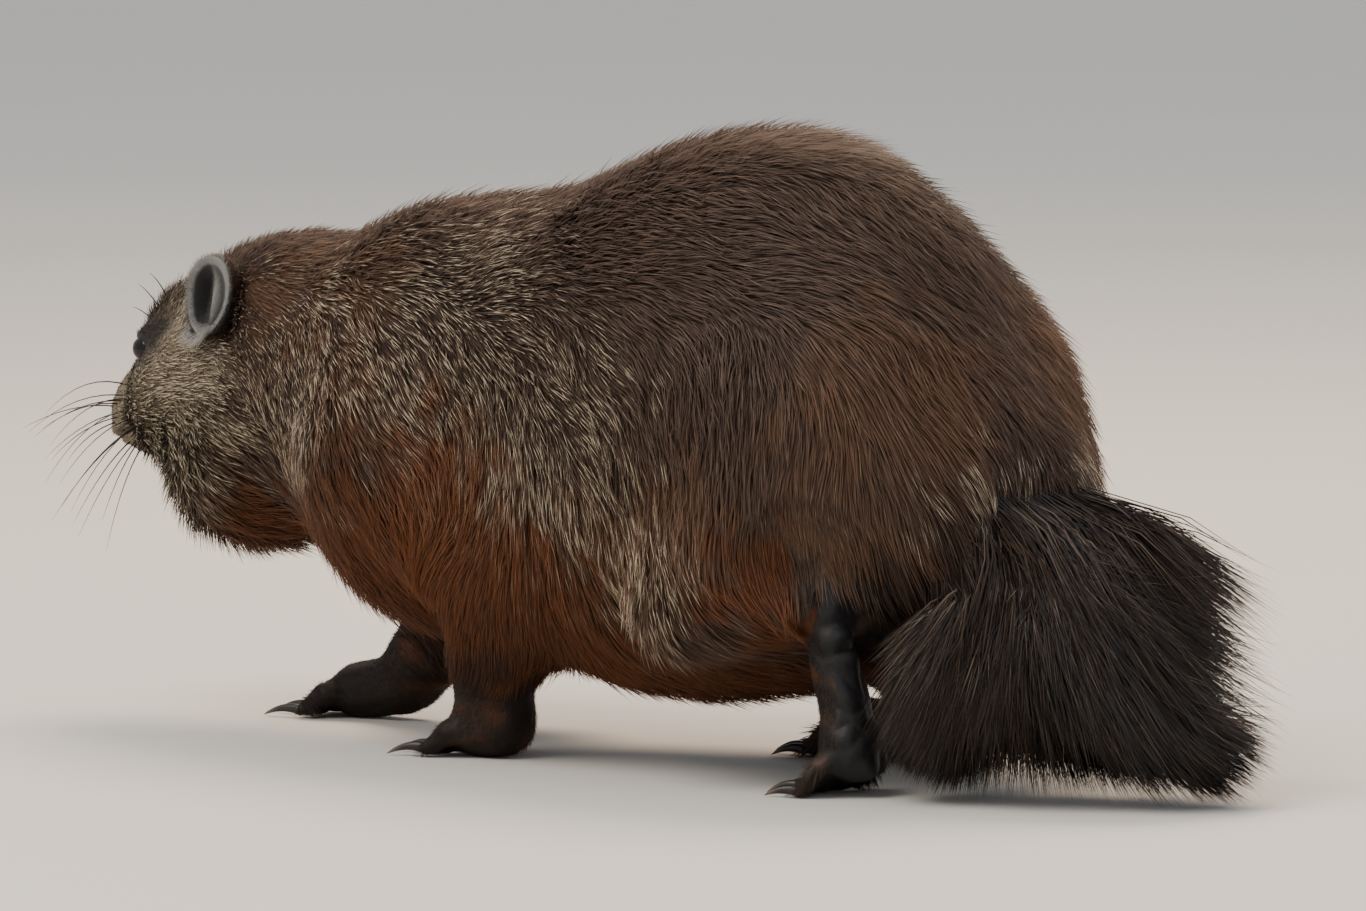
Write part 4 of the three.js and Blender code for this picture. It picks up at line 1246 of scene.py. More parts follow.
@dataclass
class Hide:
    """The animal's skin, one closed surface under the coat and inside the solids.

    Attributes:
        pelt: The coat that grows on it.
        eyes: The eyes set into it.
        face: The mouth worked into it.
        voxel: The size of the net that it is drawn over, in millimetres.
        swell: How far each solid is grown first, so that the cuts between them close.
        apart: The solids that it leaves out, besides the claws.
        finer: Where its net is split, and split again: the head's X that it starts before, and the
            distance from an eye that it starts within, in millimetres.
        creases: The bumps of the bare sole.
        rounds: How often the trunk, the whole net, the hide drawn in from it and its head are smoothed.
    """

    pelt: Pelt
    eyes: Sequence[Eye]
    face: Face
    voxel: float = 2.0
    swell: float = 0.35
    apart: tuple[str, ...] = ("tail", "nose", "ear_left", "ear_right", "eye_left", "eye_right")
    finer: tuple[tuple[float, float], ...] = ((-14.0, 40.0), (-62.0, 11.0))
    creases: Drift = field(default_factory=lambda: Drift(13.0, 61))
    rounds: tuple[int, int, int, int] = (26, 3, 5, 6)

    def nodes(self) -> list[str]:
        """The solids that the hide takes in."""
        return [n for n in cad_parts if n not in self.apart and not n.startswith("claw")]

    def _add_grown(self, name: str, rough: bmesh.types.BMesh) -> None:
        """Adds a solid to the rough form, grown a little."""
        part = bmesh.new()
        part.from_mesh(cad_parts[name].data)
        bmesh.ops.remove_doubles(part, verts=part.verts, dist=1e-6)
        part.normal_update()
        for vert in part.verts:
            vert.co += vert.normal * self.swell * MM
        grown = bpy.data.meshes.new("grown")
        part.to_mesh(grown)
        part.free()
        rough.from_mesh(grown)
        bpy.data.meshes.remove(grown)

    def _net(self) -> Mesh:
        """All the solids of flesh under one net."""
        rough = bmesh.new()
        for name in self.nodes():
            self._add_grown(name, rough)
        for core in TAIL_CORES:
            core.add_to(rough)
        for eye in self.eyes:
            matrix = Matrix.Translation(Vector(STANCE.metres(eye.middle())))
            bmesh.ops.create_icosphere(rough, subdivisions=3, radius=(eye.radius + 0.9) * MM, matrix=matrix)
        mesh = bpy.data.meshes.new("rough")
        rough.to_mesh(mesh)
        rough.free()
        holder = link(bpy.data.objects.new("rough", mesh))
        netting = holder.modifiers.new("net", "REMESH")
        netting.mode = "VOXEL"
        netting.voxel_size = self.voxel * MM
        netted = bpy.data.meshes.new_from_object(holder.evaluated_get(bpy.context.evaluated_depsgraph_get()))
        bpy.data.objects.remove(holder)
        return netted

    @staticmethod
    def _keep_outer(mesh: Mesh) -> None:
        """Keeps the outer surface alone, without closed hollows left inside it."""
        shaped = bmesh.new()
        shaped.from_mesh(mesh)
        seen: set[int] = set()
        largest: set[int] = set()
        for first in shaped.verts:
            if first.index in seen:
                continue
            group = {first.index}
            open_ends = [first]
            while open_ends:
                vert = open_ends.pop()
                for other in (edge.other_vert(vert) for edge in vert.link_edges):
                    if other.index not in group:
                        group.add(other.index)
                        open_ends.append(other)
            seen |= group
            largest = max(largest, group, key=len)
        loose = [v for v in shaped.verts if v.index not in largest]
        bmesh.ops.delete(shaped, geom=loose, context="VERTS")
        shaped.to_mesh(mesh)
        shaped.free()
        mesh.update()

    def _refine(self, mesh: Mesh) -> None:
        """Splits the faces of the face and the bare heel, and once more those of the muzzle and the eyes."""
        for number, (before, near_eye) in enumerate(self.finer):
            shaped = bmesh.new()
            shaped.from_mesh(mesh)
            points = spots(mesh)
            chosen = STANCE.in_head(points)[:, 0] < before
            chosen |= (HEEL.cover(points) > 0) & (number == 0)
            for eye in self.eyes:
                chosen |= np.linalg.norm(points - eye.middle(), axis=1) < near_eye
            edges = [e for e in shaped.edges if chosen[e.verts[0].index] and chosen[e.verts[1].index]]
            bmesh.ops.subdivide_edges(shaped, edges=edges, cuts=1, use_grid_fill=True, smooth=0.0)
            shaped.to_mesh(mesh)
            shaped.free()
            mesh.update()

    def _smooth(self, mesh: Mesh) -> None:
        """Smooths the net, most on the trunk, draws it in by the coat's depth, and refines it."""
        points = spots(mesh)
        trunk, whole, drawn_in, face_again = self.rounds
        face, feet = ease((-STANCE.in_head(points)[:, 0] + 8) / 20), ease((34 - points[:, 2]) / 12)
        heel = Run(((80, -65, 74), (92, -59, 16)), 17, 0.6).cover(points)
        fine = np.maximum(np.maximum(face, feet), heel)
        points = smoothed(mesh, points, 0.6 * (1 - fine), trunk)
        points = smoothed(mesh, points, np.full(len(points), 0.5), whole)
        move_to(mesh, points)
        points = points - outward(mesh) * self.pelt.depth(points)[:, None]
        points = smoothed(mesh, points, 0.5 * (1 - 0.7 * fine), drawn_in)
        points[:, 2] = np.maximum(points[:, 2], 0.0)
        move_to(mesh, points)
        self._refine(mesh)
        points = spots(mesh)
        head = ease((-STANCE.in_head(points)[:, 0] + 4) / 14)
        move_to(mesh, smoothed(mesh, points, 0.5 * head, face_again))

    def build(self, finish: Material) -> Object:
        """Makes the hide."""
        mesh = self._net()
        self._keep_outer(mesh)
        self._smooth(mesh)
        self.face.sculpt(mesh)
        points = spots(mesh)
        soles = self.pelt.bare(points, outward(mesh)) * ease((points[:, 2] - 4) / 6)
        creases = soles * 0.9 * np.abs(self.creases.at(points)) - 0.4 * soles
        points = points + outward(mesh) * creases[:, None]
        for eye in self.eyes:
            points = eye.hollow(points)
        move_to(mesh, points)
        lips = self.face.lips(points)
        numbers = self.pelt.markings(points)
        numbers[Mark.DARK.value] = np.maximum(numbers[Mark.DARK.value], lips)
        numbers["bare"] = np.maximum(self.pelt.bare(points, outward(mesh)), lips)
        for name, values in numbers.items():
            keep_number(mesh, name, values)
        made = Piece("hide", finish, "back_coat", self.nodes()).add(mesh)
        unwrap(made)
        return made


@dataclass
class Claws:
    """All the claws, each curved and tapered, in the place of its solid.

    Attributes:
        half_wide: Half a claw's width at its root, in millimetres.
        half_high: Half its height there.
        arch: How far its middle stands up.
        sides: How many points a ring has.
        steps: How many rings a claw has.
    """

    half_wide: float = 1.7
    half_high: float = 2.3
    arch: float = 2.4
    sides: int = 12
    steps: int = 12

    def build(self, finish: Material) -> None:
        """Makes each claw as a piece of its own."""
        for name in sorted(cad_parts):
            if name.startswith("claw"):
                self._add(name, finish)

    def _add(self, name: str, finish: Material) -> None:
        """Makes one claw, from the root in its foot to its solid's tip."""
        solid = spots(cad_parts[name].data)
        foot = STANCE.millimetres(STANCE.middle_of(name.removeprefix("claw_").rsplit("_", 1)[0]))
        far = np.linalg.norm((solid - foot)[:, :2], axis=1)
        tip = solid[np.argmax(far)]
        back = solid[far < far.min() + 1.0].mean(0)
        ahead = unit((tip - back) * np.array([1.0, 1.0, 0.0]))
        start = back - ahead * 2.5
        bend = start + ahead * 0.55 * np.linalg.norm(tip - back) + np.array([0.0, 0.0, self.arch])
        t = np.linspace(0, 1, self.steps)
        line = np.outer((1 - t) ** 2, start) + np.outer(2 * t * (1 - t), bend) + np.outer(t**2, tip)
        side = np.cross(ahead, (0.0, 0.0, 1.0))
        turn = round_about(self.sides)
        lift = np.sin(turn) + 0.25 * bell((turn - 1.5 * math.pi) / 0.4)
        rings = []
        for middle, taper in zip(line, (1 - t) ** 0.62 * 0.97 + 0.03):
            wide = np.outer(np.cos(turn) * self.half_wide * taper, side)
            rings.append(middle + wide + np.outer(lift * self.half_high * taper, (0.0, 0.0, 1.0)))
        points = np.vstack(rings)
        points[:, 2] = np.maximum(points[:, 2], 0.1)
        faces, along = ring_faces(self.steps, self.sides), np.repeat(t, self.sides)
        Piece(f"horn_{name}", finish, "claw", [name]).form(points, faces, along=along)


@dataclass
class Roots:
    """Where tufts grow: one row for each, in millimetres."""

    at: Array
    out: Array
    uv: Array

    def __len__(self) -> int:
        """How many there are."""
        return len(self.at)

    def pick(self, chosen: Array) -> Roots:
        """Only some of them."""
        return Roots(self.at[chosen], self.out[chosen], self.uv[chosen])


class Ground:
    """A piece's surface as triangles that roots can be drawn on."""

    def __init__(self, piece: Object) -> None:
        """Reads the piece's triangles, normals and map."""
        mesh = piece.data
        mesh.calc_loop_triangles()
        count = len(mesh.loop_triangles)
        corners, loops = np.empty(count * 3, np.int32), np.empty(count * 3, np.int32)
        mesh.loop_triangles.foreach_get("vertices", corners)
        mesh.loop_triangles.foreach_get("loops", loops)
        flat = np.empty(len(mesh.loops) * 2, np.float32)
        mesh.uv_layers[BAKE_MAP].uv.foreach_get("vector", flat)
        self.corners = corners.reshape(-1, 3)
        self.uv = flat.reshape(-1, 2)[loops].reshape(-1, 3, 2)
        self.points, self.normals = spots(mesh), outward(mesh)
        a, b, c = (self.points[self.corners[:, i]] for i in range(3))
        crossed = np.cross(b - a, c - a)
        self.areas = np.linalg.norm(crossed, axis=1) / 2
        self.facings = unit(crossed)
        self.middles = (a + b + c) / 3

    def scatter(self, weight: Array, count: int, seed: int) -> Roots:
        """Draws roots evenly over the surface.

        Args:
            weight: How thickly they grow on each triangle.
            count: How many to draw.
            seed: Fixes the draw.

        Returns:
            The roots.
        """
        rng = np.random.default_rng(seed)
        total = np.cumsum(self.areas * weight)
        steps = (np.arange(count) + rng.uniform(0, 1, count)) / count * total[-1]
        face = np.minimum(np.searchsorted(total, steps), len(total) - 1)
        u, v = rng.uniform(0, 1, (2, count))
        over = u + v > 1
        u[over], v[over] = 1 - u[over], 1 - v[over]
        share = np.stack([1 - u - v, u, v], axis=1)
        corners = self.corners[face]
        at, out, uv = (
            np.einsum("nk,nkd->nd", share, values)
            for values in (self.points[corners], self.normals[corners], self.uv[face])
        )
        return Roots(at, unit(out), uv)


@dataclass
class Tufts:
    """Many thin, bent, tapering tufts of three sides each.

    Attributes:
        roots: Where they grow.
        ways: For each tuft and ring, its place: an array of tufts by rings by three.
        width: Each tuft's width at its widest, in millimetres.
        numbers: Numbers kept for each tuft, by name.
        sides: How many points a ring has.
        flatness: How high a tuft is, as a share of its width.
        patch: How wide each tuft's patch on the map is.
        softness: How far its shading follows the ground rather than its own sides, from 0 to 1.
    """

    roots: Roots
    ways: Array
    width: Array
    numbers: dict[str, Array]
    sides: int = 3
    flatness: float = 0.55
    patch: float = 0.003
    softness: float = 0.72

    def build_pieces(self, order: Array, most: int, piece: Piece) -> None:
        """Makes some of the tufts, in objects of limited size.

        Args:
            order: Which tufts, in their order.
            most: The most tufts in one object.
            piece: What the objects are, with a number added to the name.
        """
        for number, first in enumerate(range(0, len(order), most), 1):
            few = order[first : first + most]
            numbers = {key: values[few] for key, values in self.numbers.items()}
            tufts = Tufts(self.roots.pick(few), self.ways[few], self.width[few], numbers)
            tufts.build(piece.part(number))

    def build(self, piece: Piece) -> None:
        """Makes one object of all the tufts."""
        count, rings, _ = self.ways.shape
        t = np.linspace(0, 1, rings)
        along = np.append(np.repeat(t[:-1], self.sides), 1.0)
        verts = self._places(t)
        size = verts.shape[1]
        pattern = self._pattern(rings)
        corners = np.concatenate([np.array(f) for f in pattern])
        loops = (np.arange(count)[:, None] * size + corners[None]).ravel()
        lengths = np.tile([len(f) for f in pattern], count)
        mesh = bpy.data.meshes.new(piece.name)
        mesh.vertices.add(count * size)
        mesh.vertices.foreach_set("co", STANCE.metres(verts.reshape(-1, 3)).astype(np.float32).ravel())
        mesh.loops.add(len(loops))
        mesh.loops.foreach_set("vertex_index", loops.astype(np.int32))
        mesh.polygons.add(len(lengths))
        mesh.polygons.foreach_set("loop_start", np.append(0, np.cumsum(lengths)[:-1]).astype(np.int32))
        mesh.update(calc_edges=True)
        keep_number(mesh, "along", np.tile(along, count))
        for key, values in self.numbers.items():
            keep_number(mesh, key, np.repeat(values, size))
        self._map(mesh, corners, along)
        mesh.validate()
        piece.add(mesh)
        shaded = outward(mesh) * (1 - self.softness) + np.repeat(self.roots.out, size, axis=0) * self.softness
        mesh.normals_split_custom_set_from_vertices(unit(shaded).astype(np.float32))

    def _places(self, t: Array) -> Array:
        """The tufts' points: three at each ring, the root slimmer than the next, and one at the tip."""
        rings = len(t) - 1
        taper = np.append(0.8, 1.0 - 0.75 * t[1:rings] ** 1.6)
        side = unit(np.cross(unit(self.ways[:, -1] - self.ways[:, 0]), self.roots.out))
        up = np.cross(side, unit(self.ways[:, -1] - self.ways[:, 0]))
        verts = np.empty((len(self.roots), rings * self.sides + 1, 3))
        for k in range(rings):
            half = (self.width * taper[k] / 2)[:, None]
            middle = self.ways[:, k]
            verts[:, k * self.sides] = middle - side * half
            verts[:, k * self.sides + 1] = middle + side * half
            verts[:, k * self.sides + 2] = middle + up * half * self.flatness * 2
        verts[:, -1] = self.ways[:, -1]
        verts[:, :, 2] = np.maximum(verts[:, :, 2], 0.2)
        return verts

    def _pattern(self, rings: int) -> list[tuple[int, ...]]:
        """One tuft's faces."""
        sides = self.sides
        faces: list[tuple[int, ...]] = [(0, 1, 2)]
        for k in range(rings - 2):
            for s in range(sides):
                a, b = k * sides + s, k * sides + (s + 1) % sides
                faces.append((b, a, a + sides, b + sides))
        last, tip = (rings - 2) * sides, (rings - 1) * sides
        return faces + [(last + (s + 1) % sides, last + s, tip) for s in range(sides)]

    def _map(self, mesh: Mesh, corners: Array, along: Array) -> None:
        """Gives each tuft its patch on the ground's map: across it in one way and along it in the other."""
        slip = (corners % self.sides) / 2
        offset = (np.stack([slip, along[corners]], axis=1) - 0.5) * self.patch
        uv = (self.roots.uv[:, None] + offset[None]).reshape(-1, 2)
        layer = mesh.uv_layers.new(name=BAKE_MAP)
        layer.uv.foreach_set("vector", np.clip(uv, 0.0005, 0.9995).astype(np.float32).ravel())


@dataclass
class Ear:
    """A low round ear: a thin cup with a rolled rim, a fold behind and a slit before it in painted shade.

    Attributes:
        name: left or right.
        side: -1 for left and 1 for right.
        half_wide: Half its width, in millimetres.
        half_high: Half its height.
        rim_out: How far out of the head the solid's rim reaches from its own middle.
        settle: Moves it from its solid to its place in the fur, in the head's frame.
        sink: How far it is sunk into the head after that.
        tilt: How much further out its back edge stands than its middle.
        wall: The cup's outside from the root to the rolled rim: its size, and how far out it is.
        sides: How many points a ring has.
        hairs: How many hairs grow on it.
    """

    name: str
    side: int
    half_wide: float = 13.4
    half_high: float = 15.4
    rim_out: float = 6.8
    settle: Point = (-2.9, 0.0, 1.6)
    sink: float = 2.0
    tilt: float = 2.6
    wall: tuple[tuple[float, float], ...] = (
        (0.74, -10.0), (0.80, -7.0), (0.85, -4.0), (0.90, -1.2), (0.945, 1.4),
        (0.98, 3.4), (1.0, 4.8), (1.0, 5.7), (0.975, 6.3), (0.94, 6.4),
    )  # fmt: skip
    sides: int = 80
    hairs: int = 7600

    def axes(self) -> Array:
        """Columns: backwards, up and out, of the ear's own."""
        s = self.side
        ways = ((0.87, -0.24 * s, -0.4), (0.41, -0.16 * s, 0.9), (0.27, 0.95 * s, 0.16))
        return np.stack([unit(STANCE.headward(way)) for way in ways], axis=1)

    def middle(self) -> Array:
        """The ear's own middle, from the place of its solid."""
        q = spots(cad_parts[f"ear_{self.name}"].data) @ np.linalg.inv(self.axes()).T
        centre = (q.min(0) + q.max(0)) / 2
        centre[2] = q[:, 2].max() - self.rim_out
        return self.axes() @ centre + STANCE.headward(self.settle) - self.sink * self.axes()[:, 2]

    @staticmethod
    def sunk(u: Array, v: Array) -> Array:
        """How much lower the rim lies towards the front and below, in millimetres."""
        return 3.4 * ease(-0.75 * u - 0.65 * v)

    @staticmethod
    def cup(u: Array, v: Array) -> tuple[Array, Array]:
        """How high the inside stands at a place on the ear, and how much painted shade darkens it there."""
        r = np.hypot(u, v)
        bowl = 5.6 - (3.4 + 4.0 * ease((0.1 - u) / 0.6)) * (1 - ease((r - 0.42) / 0.52))
        slit = bell((u + 0.38 - 0.12 * v) / 0.27, (v + 0.03) / 0.6)
        fold = bell((u - 0.24 + 0.3 * v * v) / 0.14, (v - 0.02) / 0.56)
        notch = bell((u + 0.15) / 0.28, (v + 0.78) / 0.2)
        depth = np.clip(1.3 * slit + 0.72 * (1 - ease((r - 0.74) / 0.16)) - 0.6 * fold, 0, 1)
        return bowl - 3.8 * slit + 1.8 * fold - 2.0 * notch, depth

    def _ring(self, size: float, out: Any, sinking: float) -> Array:
        """One ring of the ear, of a size and height, and sunk by a share of what the rim is."""
        u, v = size * np.cos(round_about(self.sides)), size * np.sin(round_about(self.sides))
        height = out + self.tilt * u - self.sunk(u, v) * sinking
        return np.stack([u * self.half_wide, v * self.half_high, height], axis=1)

    def build(self, finish: Material) -> Object:
        """Makes the cup: its wall outside, then its hollow from the rim to the middle."""
        turn = round_about(self.sides)
        rings = [self._ring(size, out, ease((out + 6) / 10)) for size, out in self.wall]
        # How much painted shade darkens each ring: the wall low by the head, then the hollow.
        deep = [np.full(self.sides, 0.8 * (1 - ease((out - 2.4) / 3.4))) for _, out in self.wall]
        for size in np.linspace(0.905, 0.03, 28):
            height, dark = self.cup(size * np.cos(turn), size * np.sin(turn))
            rings.append(self._ring(size, height + 0.6, ease((size - 0.3) / 0.5)))
            deep.append(dark)
        points = self.middle() + np.vstack(rings) @ self.axes().T
        piece = Piece(f"ear_cup_{self.name}", finish, "ear", [f"ear_{self.name}"])
        made = piece.form(points, ring_faces(len(rings), self.sides), deep=np.concatenate(deep))
        unwrap(made)
        return made

    def fur(self, cup: Object, pelt: Pelt, coat: Material, down: Material) -> None:
        """Grows short hair over the ear: the coat's own behind it, and pale down on its rim and inside.

        Args:
            cup: The ear.
            pelt: The coat, for its markings.
            coat: The coat's material.
            down: The material of the hair on the rim and inside.
        """
        ground = Ground(cup)
        rng = np.random.default_rng(53 + self.side)
        roots = ground.scatter(np.ones(len(ground.areas)), self.hairs, 59 + self.side)
        q = (roots.at - self.middle()) @ self.axes()
        out = roots.out @ self.axes()
        u, v = q[:, 0] / self.half_wide, q[:, 1] / self.half_high
        r = np.hypot(u, v)
        radial = unit(np.stack([u, v, np.zeros(len(u))], axis=1))
        height = q[:, 2] - self.tilt * u + self.sunk(u, v) * ease(r / 0.9)
        low = ease((-0.58 - v) / 0.12) * (u < 0.35)  # the pale tuft below the notch
        behind = (np.sum(out * radial, axis=1) > 0.35) & (height < 5.2) & (r > 0.72)
        # How much painted shade darkens the down there, from its depth in the hollow.
        inside = self.cup(u, v)[1] * (r < 0.9) * (v > -0.6)
        ways = {
            "ear_fur": radial * 0.5 + np.array([0.4, 0.1, 1.0]),
            "ear_down": (radial * 0.8 + out * 0.6 + np.array([0.25, 0.2, 0.3])) * (1 - low)[:, None]
            + np.array([-0.45, -0.8, 0.5]) * low[:, None],
        }
        lengths = {"ear_fur": np.clip(8.0 - 0.8 * (height + 1.0), 2.6, 8.0), "ear_down": 2.5 + 6.0 * low}
        widths = {"ear_fur": np.full(len(u), 0.42), "ear_down": 0.24 + 0.2 * low}
        for name, chosen, finish in (("ear_fur", behind, coat), ("ear_down", ~behind, down)):
            part = roots.pick(chosen)
            count = len(part)
            way = unit(ways[name][chosen] + rng.normal(0, 0.12, (count, 3))) @ self.axes().T
            length = lengths[name][chosen] * rng.uniform(0.7, 1.15, count)
            start = part.at - part.out * 0.3
            numbers = {"chance": rng.uniform(0, 1, count), "deep": inside[chosen], **pelt.markings(part.at)}
            line = np.stack([start, start + way * length[:, None]], axis=1)
            piece = Piece(f"{name}_{self.name}", finish, "ear")
            Tufts(part, line, widths[name][chosen], numbers).build(piece)


class Zone(Enum):
    """The parts of the coat that are pieces of their own, by the slot of their colour."""

    FEET = "foot"
    HEAD = "grizzled_coat"
    RUSSET = "russet_coat"
    BACK = "back_coat"


@dataclass(frozen=True)
class Growth:
    """One kind of tuft.

    Attributes:
        name: Its name.
        length: The least and most of the coat's length that it has.
        width: Its width on short and on long fur, in millimetres.
        lift: Degrees that it leaves the hide at, at the root and further on.
        chance: The least and most of the number that its colour is drawn by.
        per_piece: The most tufts in one piece.
    """

    name: str
    length: tuple[float, float]
    width: tuple[float, float]
    lift: tuple[float, ...]
    chance: tuple[float, float]
    per_piece: int


@dataclass
class Coat:
    """The fur on the body, in tufts that follow the lie of the coat.

    Attributes:
        pelt: What the coat is like at each point.
        ground: The surface it grows on.
        eyes: The eyes, which it leaves free.
        face: The mouth, which it leaves free.
        count: How many tufts in all.
        usual: The coat's length, in millimetres, that tufts grow by evenly; where it is less they crowd.
        guards: The share of long, bent hairs where the coat is longer than `guards_from`.
        guards_from: That length, in millimetres.
        lock: How many tufts share a leader that their tips lean to.
        head_end: The head's X that its own pieces end at.
        foot_length: The coat of the feet is shorter than this, in millimetres.
        foot_top: It lies lower than this.
        bare_nose: Half the sizes of the room left for the nose pad, in millimetres.
        seed: Fixes the coat.
        under: The short, dense tufts.
        guard: The long hairs over them.
    """

    pelt: Pelt
    ground: Ground
    eyes: Sequence[Eye]
    face: Face
    count: int = 222000
    usual: float = 14.0
    guards: float = 0.2
    guards_from: float = 7.0
    lock: int = 14
    head_end: float = 30.0
    foot_length: float = 8.0
    foot_top: float = 90.0
    bare_nose: Point = (7.0, 8.2, 6.2)
    seed: int = 71
    under: Growth = Growth("under", (0.6, 1.05), (0.4, 0.8), (17.0,), (0.0, 0.9), 45000)
    guard: Growth = Growth("guard", (0.9, 1.2), (0.34, 0.56), (26.0, 8.0), (0.35, 1.0), 18000)

    def _thickness(self) -> Array:
        """How thickly the tufts grow on each triangle: more where they are short."""
        points = self.ground.middles
        grown = (self.usual / self.pelt.length(points)) ** 0.7
        for eye in self.eyes:
            far, off, turn = eye.polar(points)
            grown *= 1 - (far < eye.radius + 3) * (off < eye.edge(turn) + 0.14)
        nose = (STANCE.in_head(points) - np.array(STANCE.nose)) / np.array(self.bare_nose)
        grown *= np.linalg.norm(nose, axis=1) > 1.0
        grown *= (from_tail(points) > 3) | (points[:, 2] > 100)
        grown *= 1 - self.pelt.bare(points, self.ground.facings)
        return grown * (1 - self.face.lips(points))

    def build(self, finish: Material) -> None:
        """Makes the coat, piece by piece from the nose to the rump."""
        rng = np.random.default_rng(self.seed)
        roots = self.ground.scatter(self._thickness(), self.count, self.seed)
        roots = roots.pick(np.argsort(roots.at[:, 0], kind="stable"))
        full = self.pelt.length(roots.at)
        lie = self.pelt.lie(roots.at, roots.out)
        numbers = self.pelt.markings(roots.at)
        guard = (rng.uniform(0, 1, len(roots)) < self.guards) & (full > self.guards_from)
        zone = self._zones(roots, full, numbers)
        for growth, kind in ((self.under, ~guard), (self.guard, guard)):
            part, length = roots.pick(kind), full[kind]
            ways = self._gathered(part, self._grow(growth, part, lie[kind], length, rng), length, rng)
            slim, wide = growth.width
            width = (slim + (wide - slim) * ease((length - 2) / 20)) * rng.uniform(0.8, 1.2, len(part))
            low, high = growth.chance
            kept = {key: values[kind] for key, values in numbers.items()}
            kept["chance"] = low + (high - low) * rng.uniform(0, 1, len(part))
            tufts = Tufts(part, ways, width, kept)
            for place in Zone:
                there = np.flatnonzero(zone[kind] == place.value)
                name = f"{place.name.lower()}_{growth.name}"
                tufts.build_pieces(there, growth.per_piece, Piece(name, finish, place.value))

    def _zones(self, roots: Roots, full: Array, numbers: Mapping[str, Array]) -> Array:
        """The part of the coat that each tuft belongs to."""
        head = STANCE.in_head(roots.at)[:, 0] < self.head_end
        feet = (full < self.foot_length) & (roots.at[:, 2] < self.foot_top) & ~head
        names = [Zone.FEET.value, Zone.HEAD.value, Zone.RUSSET.value]
        return np.select([feet, head, numbers[Mark.RUSSET.value] > 0.5], names, Zone.BACK.value)

    @staticmethod
    def _grow(growth: Growth, roots: Roots, lie: Array, full: Array, rng: np.random.Generator) -> Array:
        """Each tuft's root and the places along it, which lie down as they go."""
        count = len(roots)
        length = full * rng.uniform(*growth.length, count) / len(growth.lift)
        wild = rng.normal(0, 5, count) + added_up(RAISED, roots.at)
        line = [roots.at - roots.out * np.minimum(0.7, 0.12 * full)[:, None]]
        for degrees in growth.lift:
            lift = np.radians(np.clip(degrees + wild, 3, 60))
            way = lie * np.cos(lift)[:, None] + roots.out * np.sin(lift)[:, None]
            line.append(line[-1] + way * length[:, None])
        return np.stack(line, axis=1)

    def _gathered(self, roots: Roots, ways: Array, full: Array, rng: np.random.Generator) -> Array:
        """Draws the tips of neighbours together into small locks."""
        count = len(roots)
        leaders = rng.choice(count, count // self.lock, replace=False)
        tree = KDTree(len(leaders))
        for place, leader in enumerate(leaders):
            tree.insert(Vector(roots.at[leader]), place)
        tree.balance()
        nearest = np.array([leaders[tree.find(Vector(p))[1]] for p in roots.at])
        pull = (rng.uniform(0.0, 0.3, count) * ease((full - 4) / 12))[:, None]
        toward = ways[nearest, -1] - ways[:, -1]
        gathered = ways.copy()
        gathered[:, -1] += toward * pull
        if ways.shape[1] > 2:
            gathered[:, 1] += toward * pull * 0.3
        return gathered


